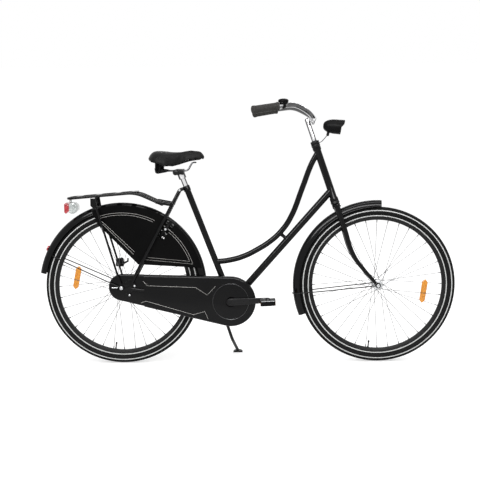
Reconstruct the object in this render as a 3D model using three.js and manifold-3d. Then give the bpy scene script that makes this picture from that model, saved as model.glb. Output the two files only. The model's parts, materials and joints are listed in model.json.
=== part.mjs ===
// A Dutch city bike with a curved top tube, standing on its side stand.
// Millimetres: +X points forward, +Y is the rider's left and +Z is up.
// The bike is drawn upright, with the rear axle over x = 0 and the ground at z = 0.
// The outer group then leans it over onto the stand.

import * as THREE from 'three';
import { mergeVertices } from 'three/addons/utils/BufferGeometryUtils.js';
import Module from 'manifold-3d';

const wasm = await Module();
wasm.setup();

// General
const gap = 0.3;
const overrun = 6;
const weldDistance = 1e-4;
const searchShare = 0.001;
const roundSides = 10;
const thinSides = 8;
const tubeSides = 16;
const wheelSides = 36;
const bendSteps = 3;
const fullTurn = 360;
const leanAngle = 5;

// Wheels
const tyreRadius = 357.5;
const tyreWidth = 40;
const tyreSteps = 6;
const tyreHeight = 44;
const rimLip = 7.5;
const rimDepth = 16.5;
const rimWidth = 29;
const rimWall = 2.2;
const rimBedWidth = 15;
const spokesPerSide = 18;
const spokeCrossAngle = 60;
const spokeRadius = 1.1;
const spokeSides = 3;
const spokeInset = 4;
const spokeTipSpread = 2;
const flangeThickness = 5.4;
const reflectorInset = 80;
const reflectorLength = 112;
const reflectorWidth = 26;
const rearReflectorAngle = 169;
const frontReflectorAngle = -9;

// Front hub
const frontFlangeRadius = 23;
const frontFlangeSpread = 32;
const frontBarrelRadius = 14;
const frontHubHalf = 44;
const frontAxleRadius = 4.75;
const collarRadius = 8;
const nutRadius = 8.6;
const nutLength = 9;
const nutSides = 6;

// Rear hub
const rearFlangeRadius = 31;
const rearFlangeSpread = 27;
const rearBarrelRadius = 23;
const rearHubHalf = 36;
const rearAxleRadius = 5;
const brakeArmThickness = 4;
const brakeArmLength = 165;
const brakeArmDrop = 58;
const brakeArmHalf = 8;
const brakeArmHub = 24;
const brakeClipWidth = 12;
const brakeClipWall = 3;

// Frame
const bracketRoom = 111;
const toeRoom = 265;
const bracketDrop = 67.5;
const bracketRadius = 20;
const bracketHalf = 34;
const seatTubeAngle = 69.1;
const seatTubeLength = 566;
const seatTubeRadius = 14.3;
const seatTubeWall = 1.5;
const headAngle = 71.5;
const headTubeLength = 258;
const headTubeRadius = 16.5;
const crownRoom = 40;
const forkRake = 61.3;
const topTubeRadius = 13;
const topTubeSeatRise = 190;
const topTubeHeadDrop = 22;
const topTubeSteps = 14;
const downTubeRadius = 15.9;
const downTubeOffset = 12.7;
const downTubeHeadRise = 49.5;
const bridgeRadius = 8;
const bridgeShare = 0.445;
const seatStayRadius = 8;
const chainStayRadius = 8;
const chainStaySpread = 26;
const stayFootAhead = 46;
const stayFootRise = 22;
const stayTopBack = 27;
const stayTopDrop = 18;
const stayTopSpread = 22;
const stayBowSpread = 42;
const stayBowShare = 0.7;
const stayBendRadius = 60;
const stayBridgeRadius = 6;
const lugRadius = 8;
const dropoutSpread = 58.5;
const dropoutThickness = 5;
const dropoutAhead = 62;
const dropoutBack = 30;
const dropoutHalfHeight = 17;

// Headset, fork and stem
const steererRadius = 12.7;
const steererRise = 32;
const cupHeight = 14;
const cupRadius = 21;
const locknutHeight = 11;
const crownHeight = 22;
const crownRadius = 19;
const fenderBossRadius = 9;
const bladeTopRadius = 13.5;
const bladeTipRadius = 8;
const bladeTopSpread = 43;
const bladeTipSpread = 54;
const bladeSteps = 9;
const forkEndThickness = 5;
const forkEndRadius = 13;
const quillRadius = 11.1;
const quillInsertion = 96;
const quillTravel = 50;
const quillRise = 106;
const clampReach = 24;
const clampDrop = 9;
const clampRadius = 17;
const clampHalf = 20;

// Handlebar, grips and bell
const barRadius = 11.1;
const barSteps = 10;
const barHalfWidth = 290;
const barReachBack = 266;
const barRise = 56;
const gripRadius = 16.5;
const gripEndRadius = 18.5;
const gripLength = 124;
const gripEndWall = 5;
const bellRadius = 23;
const bellHeight = 15;
const bellBaseHeight = 5;
const bellClampWidth = 12;
const bellClampWall = 2.6;
const bellAlong = 17;
const bellLeverLength = 34;
const bellLeverWidth = 9;
const bellLeverThickness = 4;

// Headlamp
const strapThickness = 3;
const strapWidth = 18;
const strapRingRadius = 20;
const lampPivotAhead = 67;
const lampPivotRise = 37;
const lampPivotRadius = 6.5;
const lampCheekRoom = 10.4;
const lampTiltAngle = 24;
const lampRadius = 33;
const lampLength = 82;
const lampWall = 2.5;
const lampVisor = 15;
const lampSetBack = 6.5;
const lampRise = 46;
const lampSides = 16;
const lensThickness = 5;

// Fenders
const fenderClearance = 30.5;
const fenderDepth = 30;
const fenderHalfWidth = 27;
const fenderWall = 1.6;
const fenderSteps = 4;
const fenderSides = 48;
const frontFenderStartAngle = 87;
const frontFenderEndAngle = 201.5;
const rearFenderStartAngle = -20;
const rearFenderEndAngle = 170;
const wireRadius = 2.5;
const wireEyeRadius = 9;
const wireEyeThickness = 3;
const frontStayAngle = 185.7;
const rearStayAngle = 155.5;
const stayKinkInset = 108;
const stayKinkSpread = 47;

// Coat guards
const guardThickness = 1.6;
const guardInset = 11;
const guardFrontAngle = 13;
const guardRearAngle = 111;

// Ring lock
const lockAhead = 24.13;
const lockInset = 27.5;
const lockInnerRadius = 31;
const lockOuterRadius = 50;
const lockWidth = 16;
const lockDown = -90;
const lockMouthAngle = 70;
const lockSides = 20;
const shackleRadius = 4;
const shackleClearance = 0.8;
const shackleTrackRadius = 40.5;
const shackleArcAngle = 150;
const shackleTravelAngle = 92;
const shackleSetBackAngle = 1;
const shackleKnobAngle = 130;
const shackleKnobLength = 14;
const shackleKnobRadius = 3.2;
const lockNotchFront = 20;
const lockNotchDepth = 92;

// Carrier and rear lamp
const carrierRoom = 22.5;
const carrierBack = 247;
const carrierCrestAhead = 72;
const carrierCrestRise = 24;
const carrierFrontAhead = 192;
const carrierFrontDrop = 32;
const carrierFrontSpread = 50;
const carrierHalfWidth = 62;
const carrierTubeRadius = 6;
const carrierBend = 40;
const carrierBarWidth = 26;
const carrierBarThickness = 4;
const carrierBarShares = [0.16, 0.44, 0.72, 0.97];
const carrierPadRadius = 9;
const legRadius = 5;
const legTopBack = 122;
const legPlateHeight = 46;
const legPlateWidth = 24;
const legPlateThickness = 4;
const legEyeRadius = 12;
const legFlatLength = 60;
const legFlatHalf = 7;
const rearLampOverhang = 12;
const rearLampLength = 58;
const rearLampHeight = 50;
const rearLampHalfWidth = 38;
const rearLampDrop = 14;
const rearLensDepth = 22;
const rearLampCorner = 14;
const rearLampPostRadius = 6;

// Cranks and pedals
const crankLength = 170;
const crankAngle = 2.5;
const crankBossRadius = 17;
const crankEyeRadius = 12;
const crankEndAngle = 80;
const crankThickness = 13;
const crankInner = 68.5;
const spindleRadius = 8;
const spindleHalf = 78;
const pedalLength = 68;
const pedalWidth = 88;
const pedalHalfHeight = 12;
const pedalGroove = 4;
const pedalGrooveHalf = 8;
const pedalPlate = 3;
const pedalPinRadius = 4.5;
const pedalOffset = 10;

// Chain, chainring, sprocket and chaincase
const ringTeeth = 44;
const sprocketTeeth = 19;
const chainPitch = 12.7;
const chainHeight = 8.4;
const chainWidth = 7;
const chainLine = 42.5;
const discThickness = 3;
const driverRadius = 16;
const caseWall = 2.4;
const caseFrontRadius = 115;
const caseRearRadius = 62;
const caseOuterSide = 66;
const caseInnerSide = 31;
const coverOuterSide = 49.3;
const caseSeam = 103;
const caseCrankHole = 24;
const coverHubHole = 27;
const coverAxleHole = 12;
const caseArcSteps = 10;

// Saddle
const postRise = 66;
const postLength = 230;
const saddleClampRadius = 17;
const saddleClampHeight = 30;
const railClampHalf = 29;
const railClampLength = 34;
const railClampHeight = 16;
const saddleReachBack = 147.5;
const cushionLength = 260;
const cushionHalfWidth = 102;
const saddleRise = 12.6;
const cushionHeight = 91;
const cushionStations = 18;
const cushionSides = 28;
const panThickness = 5;
const railRadius = 3.5;
const railSpread = 21;
const bumperRadius = 17;
const bumperAhead = 52;
const bumperSpread = 44;
const bumperHeight = 26;

// Side stand
const standPivotBack = 53;
const standPivotDrop = 36;
const standPivotOut = 54;
const standPinRadius = 5;
const standHeadRadius = 7.5;
const standBossRadius = 11;
const standBossLength = 18;
const standPlateThickness = 6;
const standClampLength = 34;
const standClampWall = 4;
const standFootLead = 78;
const standFootOut = 158;
const standLegRadius = 7.5;
const standFootLength = 46;
const standFootWidth = 28;
const standKneeShare = 0.69;
const standKneeOut = 3;
const standKneeBend = 16;
const standFootThickness = 7;
const standAxisAheadShare = -0.08;
const standAxisUpShare = 0.08;

// Curved top tube: shares of its reach forward and of its rise
const topTubeShares = [
  [0.12, 0.012],
  [0.265, 0.047],
  [0.42, 0.118],
  [0.536, 0.188],
  [0.636, 0.274],
  [0.7225, 0.386],
  [0.852, 0.684],
  [0.934, 0.884],
];

// Handlebar, from the stem outward: shares of its reach back, half width and rise
const barShares = [
  [-0.01, 0.14, 0.02],
  [0.02, 0.3, 0.2],
  [0.13, 0.48, 0.6],
  [0.3, 0.66, 0.96],
  [0.46, 0.8, 0.98],
];
const barEndShares = [1, 1, 0.6];
const gripTipShare = 0.8;

// Profiles, from the middle outward: shares of the radius and of the height or length
const bellShares = [
  [0.92, 0.6],
  [0.66, 0.9],
];
const lampShares = [
  [0.42, 0.04],
  [0.72, 0.18],
  [0.93, 0.42],
  [1, 0.68],
];
const lampWallShare = 0.1;
const visorShares = [0.2, 0.45, 0.8];
const lensShares = [0.6, 1.5, 1.7];

// Fork blades and wire stays
const bladeStraightShare = 0.612;
const bladeBendShare = 0.42;
const wireStartShare = 0.75;

// Coat guard's lower corners, as shares of its radius ahead of and above the axle
const guardCornerShares = [
  [-0.286, 0.769],
  [0.196, 0.276],
];

// Saddle, from back to nose: place, half width, top, underside, as shares of its size
const saddleShares = [
  [0, 0.36, 0.62, 0.44],
  [0.04, 0.7, 0.82, 0.36],
  [0.1, 0.9, 0.92, 0.28],
  [0.2, 1, 0.95, 0.16],
  [0.32, 0.95, 0.92, 0.05],
  [0.45, 0.72, 0.87, 0.02],
  [0.57, 0.46, 0.87, 0.14],
  [0.7, 0.3, 0.93, 0.3],
  [0.84, 0.25, 0.99, 0.36],
  [0.94, 0.21, 0.94, 0.42],
  [1, 0.12, 0.72, 0.48],
];
const saddleRecessShare = 0.45;
const saddleSidePower = 0.75;
const saddleTopPower = 0.85;
const panStartShare = 0.06;
const panReachShare = 0.86;
const panWidthShare = 0.6;
const panRecessShare = 0.25;
const bumperTopShare = 0.5;
const railNoseShare = 0.86;
const railNoseRiseShare = 0.36;

// Sizes and places that follow
const beadRadius = tyreRadius - tyreHeight;
const rimEdgeRadius = beadRadius + rimLip;
const rimInnerRadius = beadRadius - rimDepth;
const reflectorRadius = rimInnerRadius - reflectorInset;
const fenderRadius = tyreRadius + fenderClearance;
const stayKinkRadius = fenderRadius - stayKinkInset;
const guardRadius = fenderRadius - guardInset;
const lockReach = tyreRadius - lockInset;
const bracketAhead = fenderRadius + bracketRoom;
const wheelBase = bracketAhead + bracketRadius + toeRoom + fenderRadius;
const forkDrop = fenderRadius + crownRoom;
const bladeStraight = forkDrop * bladeStraightShare;
const axleHeight = tyreRadius;
const carrierHeight = axleHeight + fenderRadius + carrierRoom;
const rearLampBack = carrierBack + rearLampOverhang;
const bracket = at(bracketAhead, axleHeight - bracketDrop);
const seatLine = new THREE.Vector3(-cosine(seatTubeAngle), 0, sine(seatTubeAngle));
const seatTop = bracket.clone().addScaledVector(seatLine, seatTubeLength);
const postTop = seatTop.clone().addScaledVector(seatLine, postRise);
const cushionBack = postTop.x - saddleReachBack;
const cushionBottom = postTop.z + saddleRise;
const lockAngle = angleAheadOfStay(lockReach, lockAhead);
const headLine = new THREE.Vector3(-cosine(headAngle), 0, sine(headAngle));
const headAhead = new THREE.Vector3(sine(headAngle), 0, cosine(headAngle));
const frontAxleCentre = at(wheelBase, axleHeight);
const headBottom = frontAxleCentre
  .clone()
  .addScaledVector(headAhead, -forkRake)
  .addScaledVector(headLine, forkDrop);
const arcFlatShare = cosine(90 / caseArcSteps);
const rimFlat = rimInnerRadius * Math.cos(Math.PI / wheelSides);
const fenderSag = fenderRadius * (1 - Math.cos(Math.PI / fenderSides));
const standPivotAhead = bracketAhead - standPivotBack;
const standFootAhead = standPivotAhead + standFootLead;
const ringRadius = pitchRadius(ringTeeth);
const sprocketRadius = pitchRadius(sprocketTeeth);
const guardSide = fenderHalfWidth + gap;
const legSide = dropoutSpread + dropoutThickness / 2 + gap;
const wireSide = legSide + legPlateThickness + gap;
const driverOuter = coverOuterSide - caseWall - gap;
const frontWireSide = bladeTipSpread + forkEndThickness / 2 + gap;

// Finishes
const paint = finish(0x09090a, 0.2, 0.1);
const chrome = finish(0xd8d8da, 0.12, 1);
const steel = finish(0x9b9da0, 0.4, 0.9);
const darkSteel = finish(0x3a3a3c, 0.5, 0.8);
const tyreRubber = finish(0x141414, 0.85, 0);
const gripRubber = finish(0x1c1b1a, 0.75, 0);
const blackAlloy = finish(0x101112, 0.35, 0.4);
const blackPlastic = finish(0x131313, 0.45, 0);
const guardVinyl = finish(0x0a0a0b, 0.25, 0);
const amber = finish(0xf2a310, 0.25, 0);
const lampBody = finish(0xc4ccc8, 0.3, 0);
const redLens = finish(0xb0101c, 0.2, 0);
const clearLens = finish(0xdfe6ea, 0.1, 0);
const saddleCover = finish(0x202022, 0.6, 0);

// Working tools

function sine(degrees) {
  return Math.sin(THREE.MathUtils.degToRad(degrees));
}

function cosine(degrees) {
  return Math.cos(THREE.MathUtils.degToRad(degrees));
}

function finish(color, roughness, metalness) {
  return new THREE.MeshStandardMaterial({ color, roughness, metalness });
}

function at(x, z, y = 0) {
  return new THREE.Vector3(x, y, z);
}

// A place on a circle in the wheel's plane: the angle is counted up from straight ahead
function polar(radius, degrees, y = 0) {
  return at(radius * cosine(degrees), radius * sine(degrees), y);
}

function pitchRadius(teeth) {
  return chainPitch / 2 / Math.sin(Math.PI / teeth);
}

// A place on the steering axis group, given in the bike's own frame
function onHead(ahead, up, left = 0) {
  const place = headBottom.clone();
  place.addScaledVector(headAhead, ahead);
  place.addScaledVector(headLine, up);
  place.y += left;
  return place;
}

function solid(geometry) {
  const plain = geometry.index ? geometry.toNonIndexed() : geometry.clone();
  plain.deleteAttribute('normal');
  plain.deleteAttribute('uv');
  const merged = mergeVertices(plain, weldDistance);
  const corners = merged.attributes.position;
  const index = merged.index.array;
  const kept = [];
  let volume = 0;
  const a = new THREE.Vector3();
  const b = new THREE.Vector3();
  const c = new THREE.Vector3();
  for (let i = 0; i < index.length; i += 3) {
    const [p, q, r] = [index[i], index[i + 1], index[i + 2]];
    if (p === q || q === r || r === p) continue;
    kept.push([p, q, r]);
    a.fromBufferAttribute(corners, p);
    b.fromBufferAttribute(corners, q);
    c.fromBufferAttribute(corners, r);
    volume += a.dot(b.cross(c));
  }
  const outward = volume < 0 ? kept.map(([p, q, r]) => [p, r, q]) : kept;
  return new wasm.Manifold(
    new wasm.Mesh({
      numProp: 3,
      vertProperties: new Float32Array(corners.array),
      triVerts: new Uint32Array(outward.flat()),
    }),
  );
}

// The same body turned by degrees about X, Y and Z, and then moved
function placed(body, place, turn = [0, 0, 0]) {
  const [x, y, z] = turn.map(THREE.MathUtils.degToRad);
  const rotation = new THREE.Quaternion().setFromEuler(new THREE.Euler(x, y, z));
  return transformed(body, place, rotation);
}

function transformed(body, place, rotation) {
  const matrix = new THREE.Matrix4().compose(place, rotation, new THREE.Vector3(1, 1, 1));
  return solid(geometryOf(body).applyMatrix4(matrix));
}

function fused(bodies) {
  return bodies.reduce((whole, next) => whole.add(next));
}

function geometryOf(body) {
  const mesh = body.getMesh();
  const geometry = new THREE.BufferGeometry();
  geometry.setAttribute('position', new THREE.BufferAttribute(mesh.vertProperties, 3));
  geometry.setIndex(new THREE.BufferAttribute(mesh.triVerts, 1));
  geometry.computeVertexNormals();
  return geometry;
}

function circle(radius, sides) {
  const points = [];
  for (let i = 0; i < sides; i += 1) {
    const angle = ((i + 0.5) / sides) * Math.PI * 2;
    points.push(new THREE.Vector2(radius * Math.cos(angle), radius * Math.sin(angle)));
  }
  return new THREE.Shape(points);
}

// Points along an arc in the wheel's plane, as [x, z] pairs
function arc(centre, radius, from, to, steps) {
  const points = [];
  for (let i = 0; i <= steps; i += 1) {
    const place = polar(radius, from + ((to - from) * i) / steps).add(centre);
    points.push([place.x, place.z]);
  }
  return points;
}

function outline(points) {
  return new THREE.Shape(points.map(([x, z]) => new THREE.Vector2(x, z)));
}

// An outline drawn in the wheel's plane, as thick as the span from one side to the other
function slab(shape, fromSide, toSide) {
  const low = Math.min(fromSide, toSide);
  const high = Math.max(fromSide, toSide);
  const geometry = new THREE.ExtrudeGeometry(shape, { depth: high - low, bevelEnabled: false });
  geometry.rotateX(Math.PI / 2);
  geometry.translate(0, high, 0);
  return solid(geometry);
}

// A profile of [radius, side] pairs turned about the Y axis; it closes on itself
function turned(profile, sides = roundSides) {
  const points = profile.map(([radius, side]) => new THREE.Vector2(radius, side));
  points.push(points[0].clone());
  const geometry = new THREE.LatheGeometry(points, sides);
  geometry.rotateY(Math.PI / sides);
  return solid(geometry);
}

// The same profile turned about the Z axis, as [radius, height] pairs
function turnedUpright(profile, sides = roundSides) {
  return placed(turned(profile, sides), at(0, 0), [90, 0, 0]);
}

function rod(from, to, radius, sides = roundSides) {
  const length = from.distanceTo(to);
  const geometry = new THREE.CylinderGeometry(radius, radius, length, sides);
  const along = to.clone().sub(from).normalize();
  const turnTo = new THREE.Quaternion().setFromUnitVectors(new THREE.Vector3(0, 1, 0), along);
  geometry.applyQuaternion(turnTo);
  const middle = from.clone().add(to).divideScalar(2);
  geometry.translate(middle.x, middle.y, middle.z);
  return solid(geometry);
}

// The corner radius of a bore whose flats stay a gap clear of a turning part
function runningBore(radius, sides = roundSides) {
  return (radius + gap) / Math.cos(Math.PI / sides);
}

// A rod along Y through a place
function pin(place, radius, fromSide, toSide, sides = roundSides) {
  return rod(at(place.x, place.z, fromSide), at(place.x, place.z, toSide), radius, sides);
}

function tube(curve, radius, steps, sides = roundSides) {
  const options = { steps, bevelEnabled: false, extrudePath: curve };
  return solid(new THREE.ExtrudeGeometry(circle(radius, sides), options));
}

// A tube that grows from one radius to another along a curve
function taperedTube(curve, startRadius, endRadius, steps, sides = roundSides) {
  const geometry = new THREE.CylinderGeometry(1, 1, 1, sides, steps);
  const places = geometry.attributes.position;
  const across = new THREE.Vector3();
  const sideways = new THREE.Vector3(0, 1, 0);
  for (let i = 0; i < places.count; i += 1) {
    const along = THREE.MathUtils.clamp(places.getY(i) + 0.5, 0, 1);
    const radius = THREE.MathUtils.lerp(startRadius, endRadius, along);
    const tangent = curve.getTangentAt(along);
    const lateral = sideways.clone().addScaledVector(tangent, -tangent.y).normalize();
    across.crossVectors(tangent, lateral);
    const place = curve.getPointAt(along);
    place.addScaledVector(lateral, places.getX(i) * radius);
    place.addScaledVector(across, places.getZ(i) * radius);
    places.setXYZ(i, place.x, place.y, place.z);
  }
  return solid(geometry);
}

// A path that keeps its own places, so that a straight run is a single step
class Route extends THREE.Curve {
  constructor(places) {
    super();
    this.places = places;
    this.steps = places.length - 1;
  }

  getPointAt(share) {
    return this.places[Math.round(share * this.steps)].clone();
  }

  getTangentAt(share) {
    const i = Math.round(share * this.steps);
    const tangent = new THREE.Vector3();
    const here = this.places[i];
    if (i > 0) tangent.add(here.clone().sub(this.places[i - 1]).normalize());
    if (i < this.steps) tangent.add(this.places[i + 1].clone().sub(here).normalize());
    return tangent.normalize();
  }
}

function routed(route, radius, sides = thinSides) {
  return tube(route, radius, route.steps, sides);
}

// Straight runs joined by bends of about the given size
function bentPath(points, bend) {
  const places = [points[0]];
  let start = points[0];
  for (let i = 1; i < points.length - 1; i += 1) {
    const corner = points[i];
    const before = corner.clone().sub(start);
    const after = points[i + 1].clone().sub(corner);
    const reach = Math.min(bend, before.length() / 2, after.length() / 2);
    const enter = corner.clone().addScaledVector(before.normalize(), -reach);
    const leave = corner.clone().addScaledVector(after.normalize(), reach);
    places.push(...new THREE.QuadraticBezierCurve3(enter, corner, leave).getPoints(bendSteps));
    start = leave;
  }
  places.push(points[points.length - 1]);
  return new Route(places);
}

function sector(radius, from, to, steps) {
  return outline([[0, 0], ...arc(at(0, 0), radius, from, to, steps)]);
}

// The outline that wraps the bracket and the rear axle, in the wheel's plane
function wrap(frontRadius, rearRadius) {
  const rear = at(0, axleHeight);
  const reach = bracket.clone().sub(rear);
  const lean = THREE.MathUtils.radToDeg(Math.atan2(reach.z, reach.x));
  const touch = THREE.MathUtils.radToDeg(Math.acos((rearRadius - frontRadius) / reach.length()));
  return [
    ...arc(bracket, frontRadius, lean - touch, lean + touch, caseArcSteps * 2),
    ...arc(rear, rearRadius, lean + touch, lean + fullTurn - touch, caseArcSteps),
  ];
}

// The scene graph: the parts that share a place share a group
const bike = new THREE.Group();

function group(parent, place = at(0, 0)) {
  const holder = new THREE.Group();
  holder.position.copy(place);
  parent.add(holder);
  return holder;
}

function piece(parent, name, body, material) {
  const mesh = new THREE.Mesh(geometryOf(body), material);
  mesh.name = name;
  parent.add(mesh);
  return mesh;
}

// Wheels

function tyre() {
  const sectionRadius = tyreWidth / 2;
  const channelHalf = rimWidth / 2 - rimWall - gap;
  const corner = tyreRadius / Math.cos(Math.PI / wheelSides);
  const middle = corner - sectionRadius;
  const spread = 180 - THREE.MathUtils.radToDeg(Math.asin(channelHalf / sectionRadius));
  const profile = [[beadRadius + gap, -channelHalf]];
  for (let i = 0; i <= tyreSteps; i += 1) {
    const angle = -spread + (2 * spread * i) / tyreSteps;
    profile.push([middle + sectionRadius * cosine(angle), sectionRadius * sine(angle)]);
  }
  profile.push([beadRadius + gap, channelHalf]);
  return turned(profile, wheelSides);
}

function rim() {
  const half = rimWidth / 2;
  const right = [
    [rimInnerRadius, -rimBedWidth / 2],
    [rimEdgeRadius, -half],
    [rimEdgeRadius, -half + rimWall],
    [beadRadius, -half + rimWall],
  ];
  const left = right.map(([radius, side]) => [radius, -side]).reverse();
  return turned([...right, ...left], wheelSides);
}

// How far a spoke lies from the wheel's middle plane where it passes a radius
function spokeSide(radius, flangeRadius, spread) {
  const start = polar(flangeRadius - spokeInset, 0);
  const run = polar(rimFlat, spokeCrossAngle).sub(start);
  const half = start.dot(run) / run.lengthSq();
  const rest = (start.lengthSq() - radius ** 2) / run.lengthSq();
  const share = Math.sqrt(half ** 2 - rest) - half;
  return THREE.MathUtils.lerp(spread, spokeTipSpread, share);
}

// Leading and trailing spokes cross in two layers that stay clear of each other
function spokes(flangeRadius, spread) {
  const bodies = [];
  const step = fullTurn / spokesPerSide;
  const hole = flangeRadius - spokeInset;
  const layer = spokeRadius + gap;
  for (const side of [1, -1]) {
    for (let i = 0; i < spokesPerSide; i += 1) {
      const lead = i % 2 === 0 ? 1 : -1;
      const hubAngle = step * i + (side > 0 ? 0 : step / 2);
      const rimAngle = hubAngle + lead * spokeCrossAngle;
      const start = polar(hole, hubAngle, side * (spread + lead * layer));
      const end = polar(rimFlat - gap, rimAngle, side * (spokeTipSpread + lead * layer));
      bodies.push(rod(start, end, spokeRadius, spokeSides));
    }
  }
  return fused(bodies);
}

function hubShell(flangeRadius, spread, barrelRadius, half, boreRadius) {
  const rise = flangeThickness / 2;
  const right = [
    [boreRadius, -half],
    [(boreRadius + barrelRadius) / 2 + rise, -half],
    [(boreRadius + barrelRadius) / 2 + rise, -spread - rise],
    [flangeRadius, -spread - rise],
    [flangeRadius, -spread + rise],
    [barrelRadius, -spread + rise],
  ];
  const left = right.map(([radius, side]) => [radius, -side]).reverse();
  return turned([...right, ...left], roundSides);
}

function reflector(angle, flangeRadius, spread) {
  const half = reflectorLength / 2;
  const side = reflectorWidth / 2;
  const corner = Math.hypot(reflectorRadius + side, half - side);
  const thickness = 2 * (spokeSide(corner, flangeRadius, spread) - 2 * spokeRadius - 2 * gap);
  const shape = outline([
    [-side, -half + side],
    [0, -half],
    [side, -half + side],
    [side, half - side],
    [0, half],
    [-side, half - side],
  ]);
  const body = slab(shape, -thickness / 2, thickness / 2);
  return placed(body, polar(reflectorRadius, angle), [0, -angle, 0]);
}

function wheel(name, place, reflectorBody, hub) {
  const centre = group(bike, place);
  piece(centre, `${name}_tyre`, tyre(), tyreRubber);
  piece(centre, `${name}_rim`, rim(), blackAlloy);
  piece(centre, `${name}_hub_and_spokes`, hub, steel);
  piece(centre, `${name}_wheel_reflector`, reflectorBody, amber);
  return centre;
}

function nut(inner) {
  const side = Math.sign(inner);
  const axis = at(0, 0);
  return pin(axis, nutRadius, inner, inner + side * nutLength, nutSides);
}

function frontAxle() {
  const nutSide = frontWireSide + wireEyeThickness + gap;
  const end = nutSide + nutLength + frontAxleRadius;
  const collarEnd = bladeTipSpread - forkEndThickness / 2 - gap;
  const bodies = [pin(at(0, 0), frontAxleRadius, -end, end, thinSides)];
  for (const side of [1, -1]) {
    const collarStart = frontHubHalf + gap;
    bodies.push(pin(at(0, 0), collarRadius, side * collarStart, side * collarEnd, thinSides));
    bodies.push(nut(side * nutSide));
  }
  return fused(bodies);
}

function rearAxle() {
  const nutSide = wireSide + wireEyeThickness + gap;
  const end = nutSide + nutLength + rearAxleRadius;
  const collarEnd = dropoutSpread - dropoutThickness / 2 - gap;
  const leftCollar = rearHubHalf + brakeArmThickness + 2 * gap;
  return fused([
    pin(at(0, 0), rearAxleRadius, -end, end, thinSides),
    pin(at(0, 0), collarRadius, leftCollar, collarEnd, thinSides),
    pin(at(0, 0), collarRadius, -driverOuter - gap, -collarEnd, thinSides),
    nut(nutSide),
    nut(-nutSide),
  ]);
}

// Frame

function bracketShell(grow) {
  return pin(bracket, bracketRadius + grow, -bracketHalf - grow, bracketHalf + grow, tubeSides);
}

function seatTubeSolid(grow) {
  return rod(bracket, seatTop, seatTubeRadius + grow, tubeSides);
}

function headTubeSolid(grow) {
  const top = onHead(0, headTubeLength + grow);
  return rod(onHead(0, -grow), top, headTubeRadius + grow, tubeSides);
}

// The ends of a seat stay; side 0 gives them in the bike's middle plane
function seatStayEnds(side) {
  const foot = at(stayFootAhead, axleHeight + stayFootRise, side * dropoutSpread);
  const top = at(seatTop.x - stayTopBack, seatTop.z - stayTopDrop, side * stayTopSpread);
  return { foot, top };
}

// The angle, seen from the rear axle, of a place at this reach and this far ahead of the seat stays
function angleAheadOfStay(reach, ahead) {
  const { foot, top } = seatStayEnds(0);
  const line = top.clone().sub(foot).normalize();
  const footAhead = foot.x * line.z - (foot.z - axleHeight) * line.x;
  const slope = Math.atan2(line.z, line.x);
  return THREE.MathUtils.radToDeg(slope - Math.asin((footAhead + ahead) / reach));
}

// A place on the left chain stay's axis, and the way along it toward the rear
function onChainStay(ahead) {
  const toAxle = at(0, axleHeight).sub(bracket);
  const place = bracket.clone().addScaledVector(toAxle, 1 - ahead / bracketAhead);
  const share = 1 - (ahead - stayFootAhead) / (bracketAhead - stayFootAhead);
  place.y = THREE.MathUtils.lerp(chainStaySpread, dropoutSpread, share);
  return { place, along: toAxle.normalize() };
}

function seatStay(side, grow) {
  const { foot, top } = seatStayEnds(side);
  const bow = foot.clone().lerp(top, stayBowShare);
  bow.y = side * stayBowSpread;
  return routed(bentPath([foot, bow, top], stayBendRadius), seatStayRadius + grow, roundSides);
}

function chainStay(side, grow) {
  const start = at(bracket.x, bracket.z, side * chainStaySpread);
  const foot = onChainStay(stayFootAhead).place;
  foot.y *= side;
  return rod(start, foot, chainStayRadius + grow);
}

function dropout(side) {
  const shape = outline([
    [-dropoutBack, axleHeight - dropoutHalfHeight / 2],
    [0, axleHeight - dropoutHalfHeight],
    [dropoutAhead, axleHeight - dropoutHalfHeight],
    [dropoutAhead, axleHeight + dropoutHalfHeight],
    [stayFootAhead + dropoutHalfHeight / 2, axleHeight + stayFootRise + dropoutHalfHeight],
    [stayFootAhead - dropoutHalfHeight / 2, axleHeight + stayFootRise + dropoutHalfHeight],
    [0, axleHeight + dropoutHalfHeight],
    [-dropoutBack, axleHeight + dropoutHalfHeight / 2],
  ]);
  const inner = side * (dropoutSpread - dropoutThickness / 2);
  const outer = side * (dropoutSpread + dropoutThickness / 2);
  const slotHalf = rearAxleRadius + gap;
  const slot = outline([
    [-dropoutBack - overrun, axleHeight - slotHalf],
    [slotHalf, axleHeight - slotHalf],
    [slotHalf, axleHeight + slotHalf],
    [-dropoutBack - overrun, axleHeight + slotHalf],
  ]);
  const cut = slab(slot, inner - side * overrun, outer + side * overrun);
  return slab(shape, inner, outer).subtract(cut);
}

// The bridge over the fender, in front of the seat stays' bow
function stayBridge() {
  const { foot, top } = seatStayEnds(0);
  const reach = fenderRadius + gap + stayBridgeRadius;
  const centre = at(0, axleHeight);
  let share = 0;
  while (share < 1 && foot.clone().lerp(top, share).distanceTo(centre) < reach) share += searchShare;
  const place = foot.clone().lerp(top, share);
  return pin(place, stayBridgeRadius, -stayTopSpread - seatStayRadius * 2, stayBowSpread);
}

function stays(side) {
  const body = fused([seatStay(side, 0), chainStay(side, 0), dropout(side)]);
  return body.subtract(pin(bracket, bracketRadius + gap, -dropoutSpread, dropoutSpread, tubeSides));
}

function stayLug() {
  const { top } = seatStayEnds(0);
  const root = seatTop.clone().addScaledVector(seatLine, -stayTopDrop / 2);
  const half = stayTopSpread;
  return fused([rod(root, top, lugRadius), pin(top, lugRadius, -half, half)])
    .subtract(seatStay(1, gap))
    .subtract(seatStay(-1, gap));
}

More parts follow.
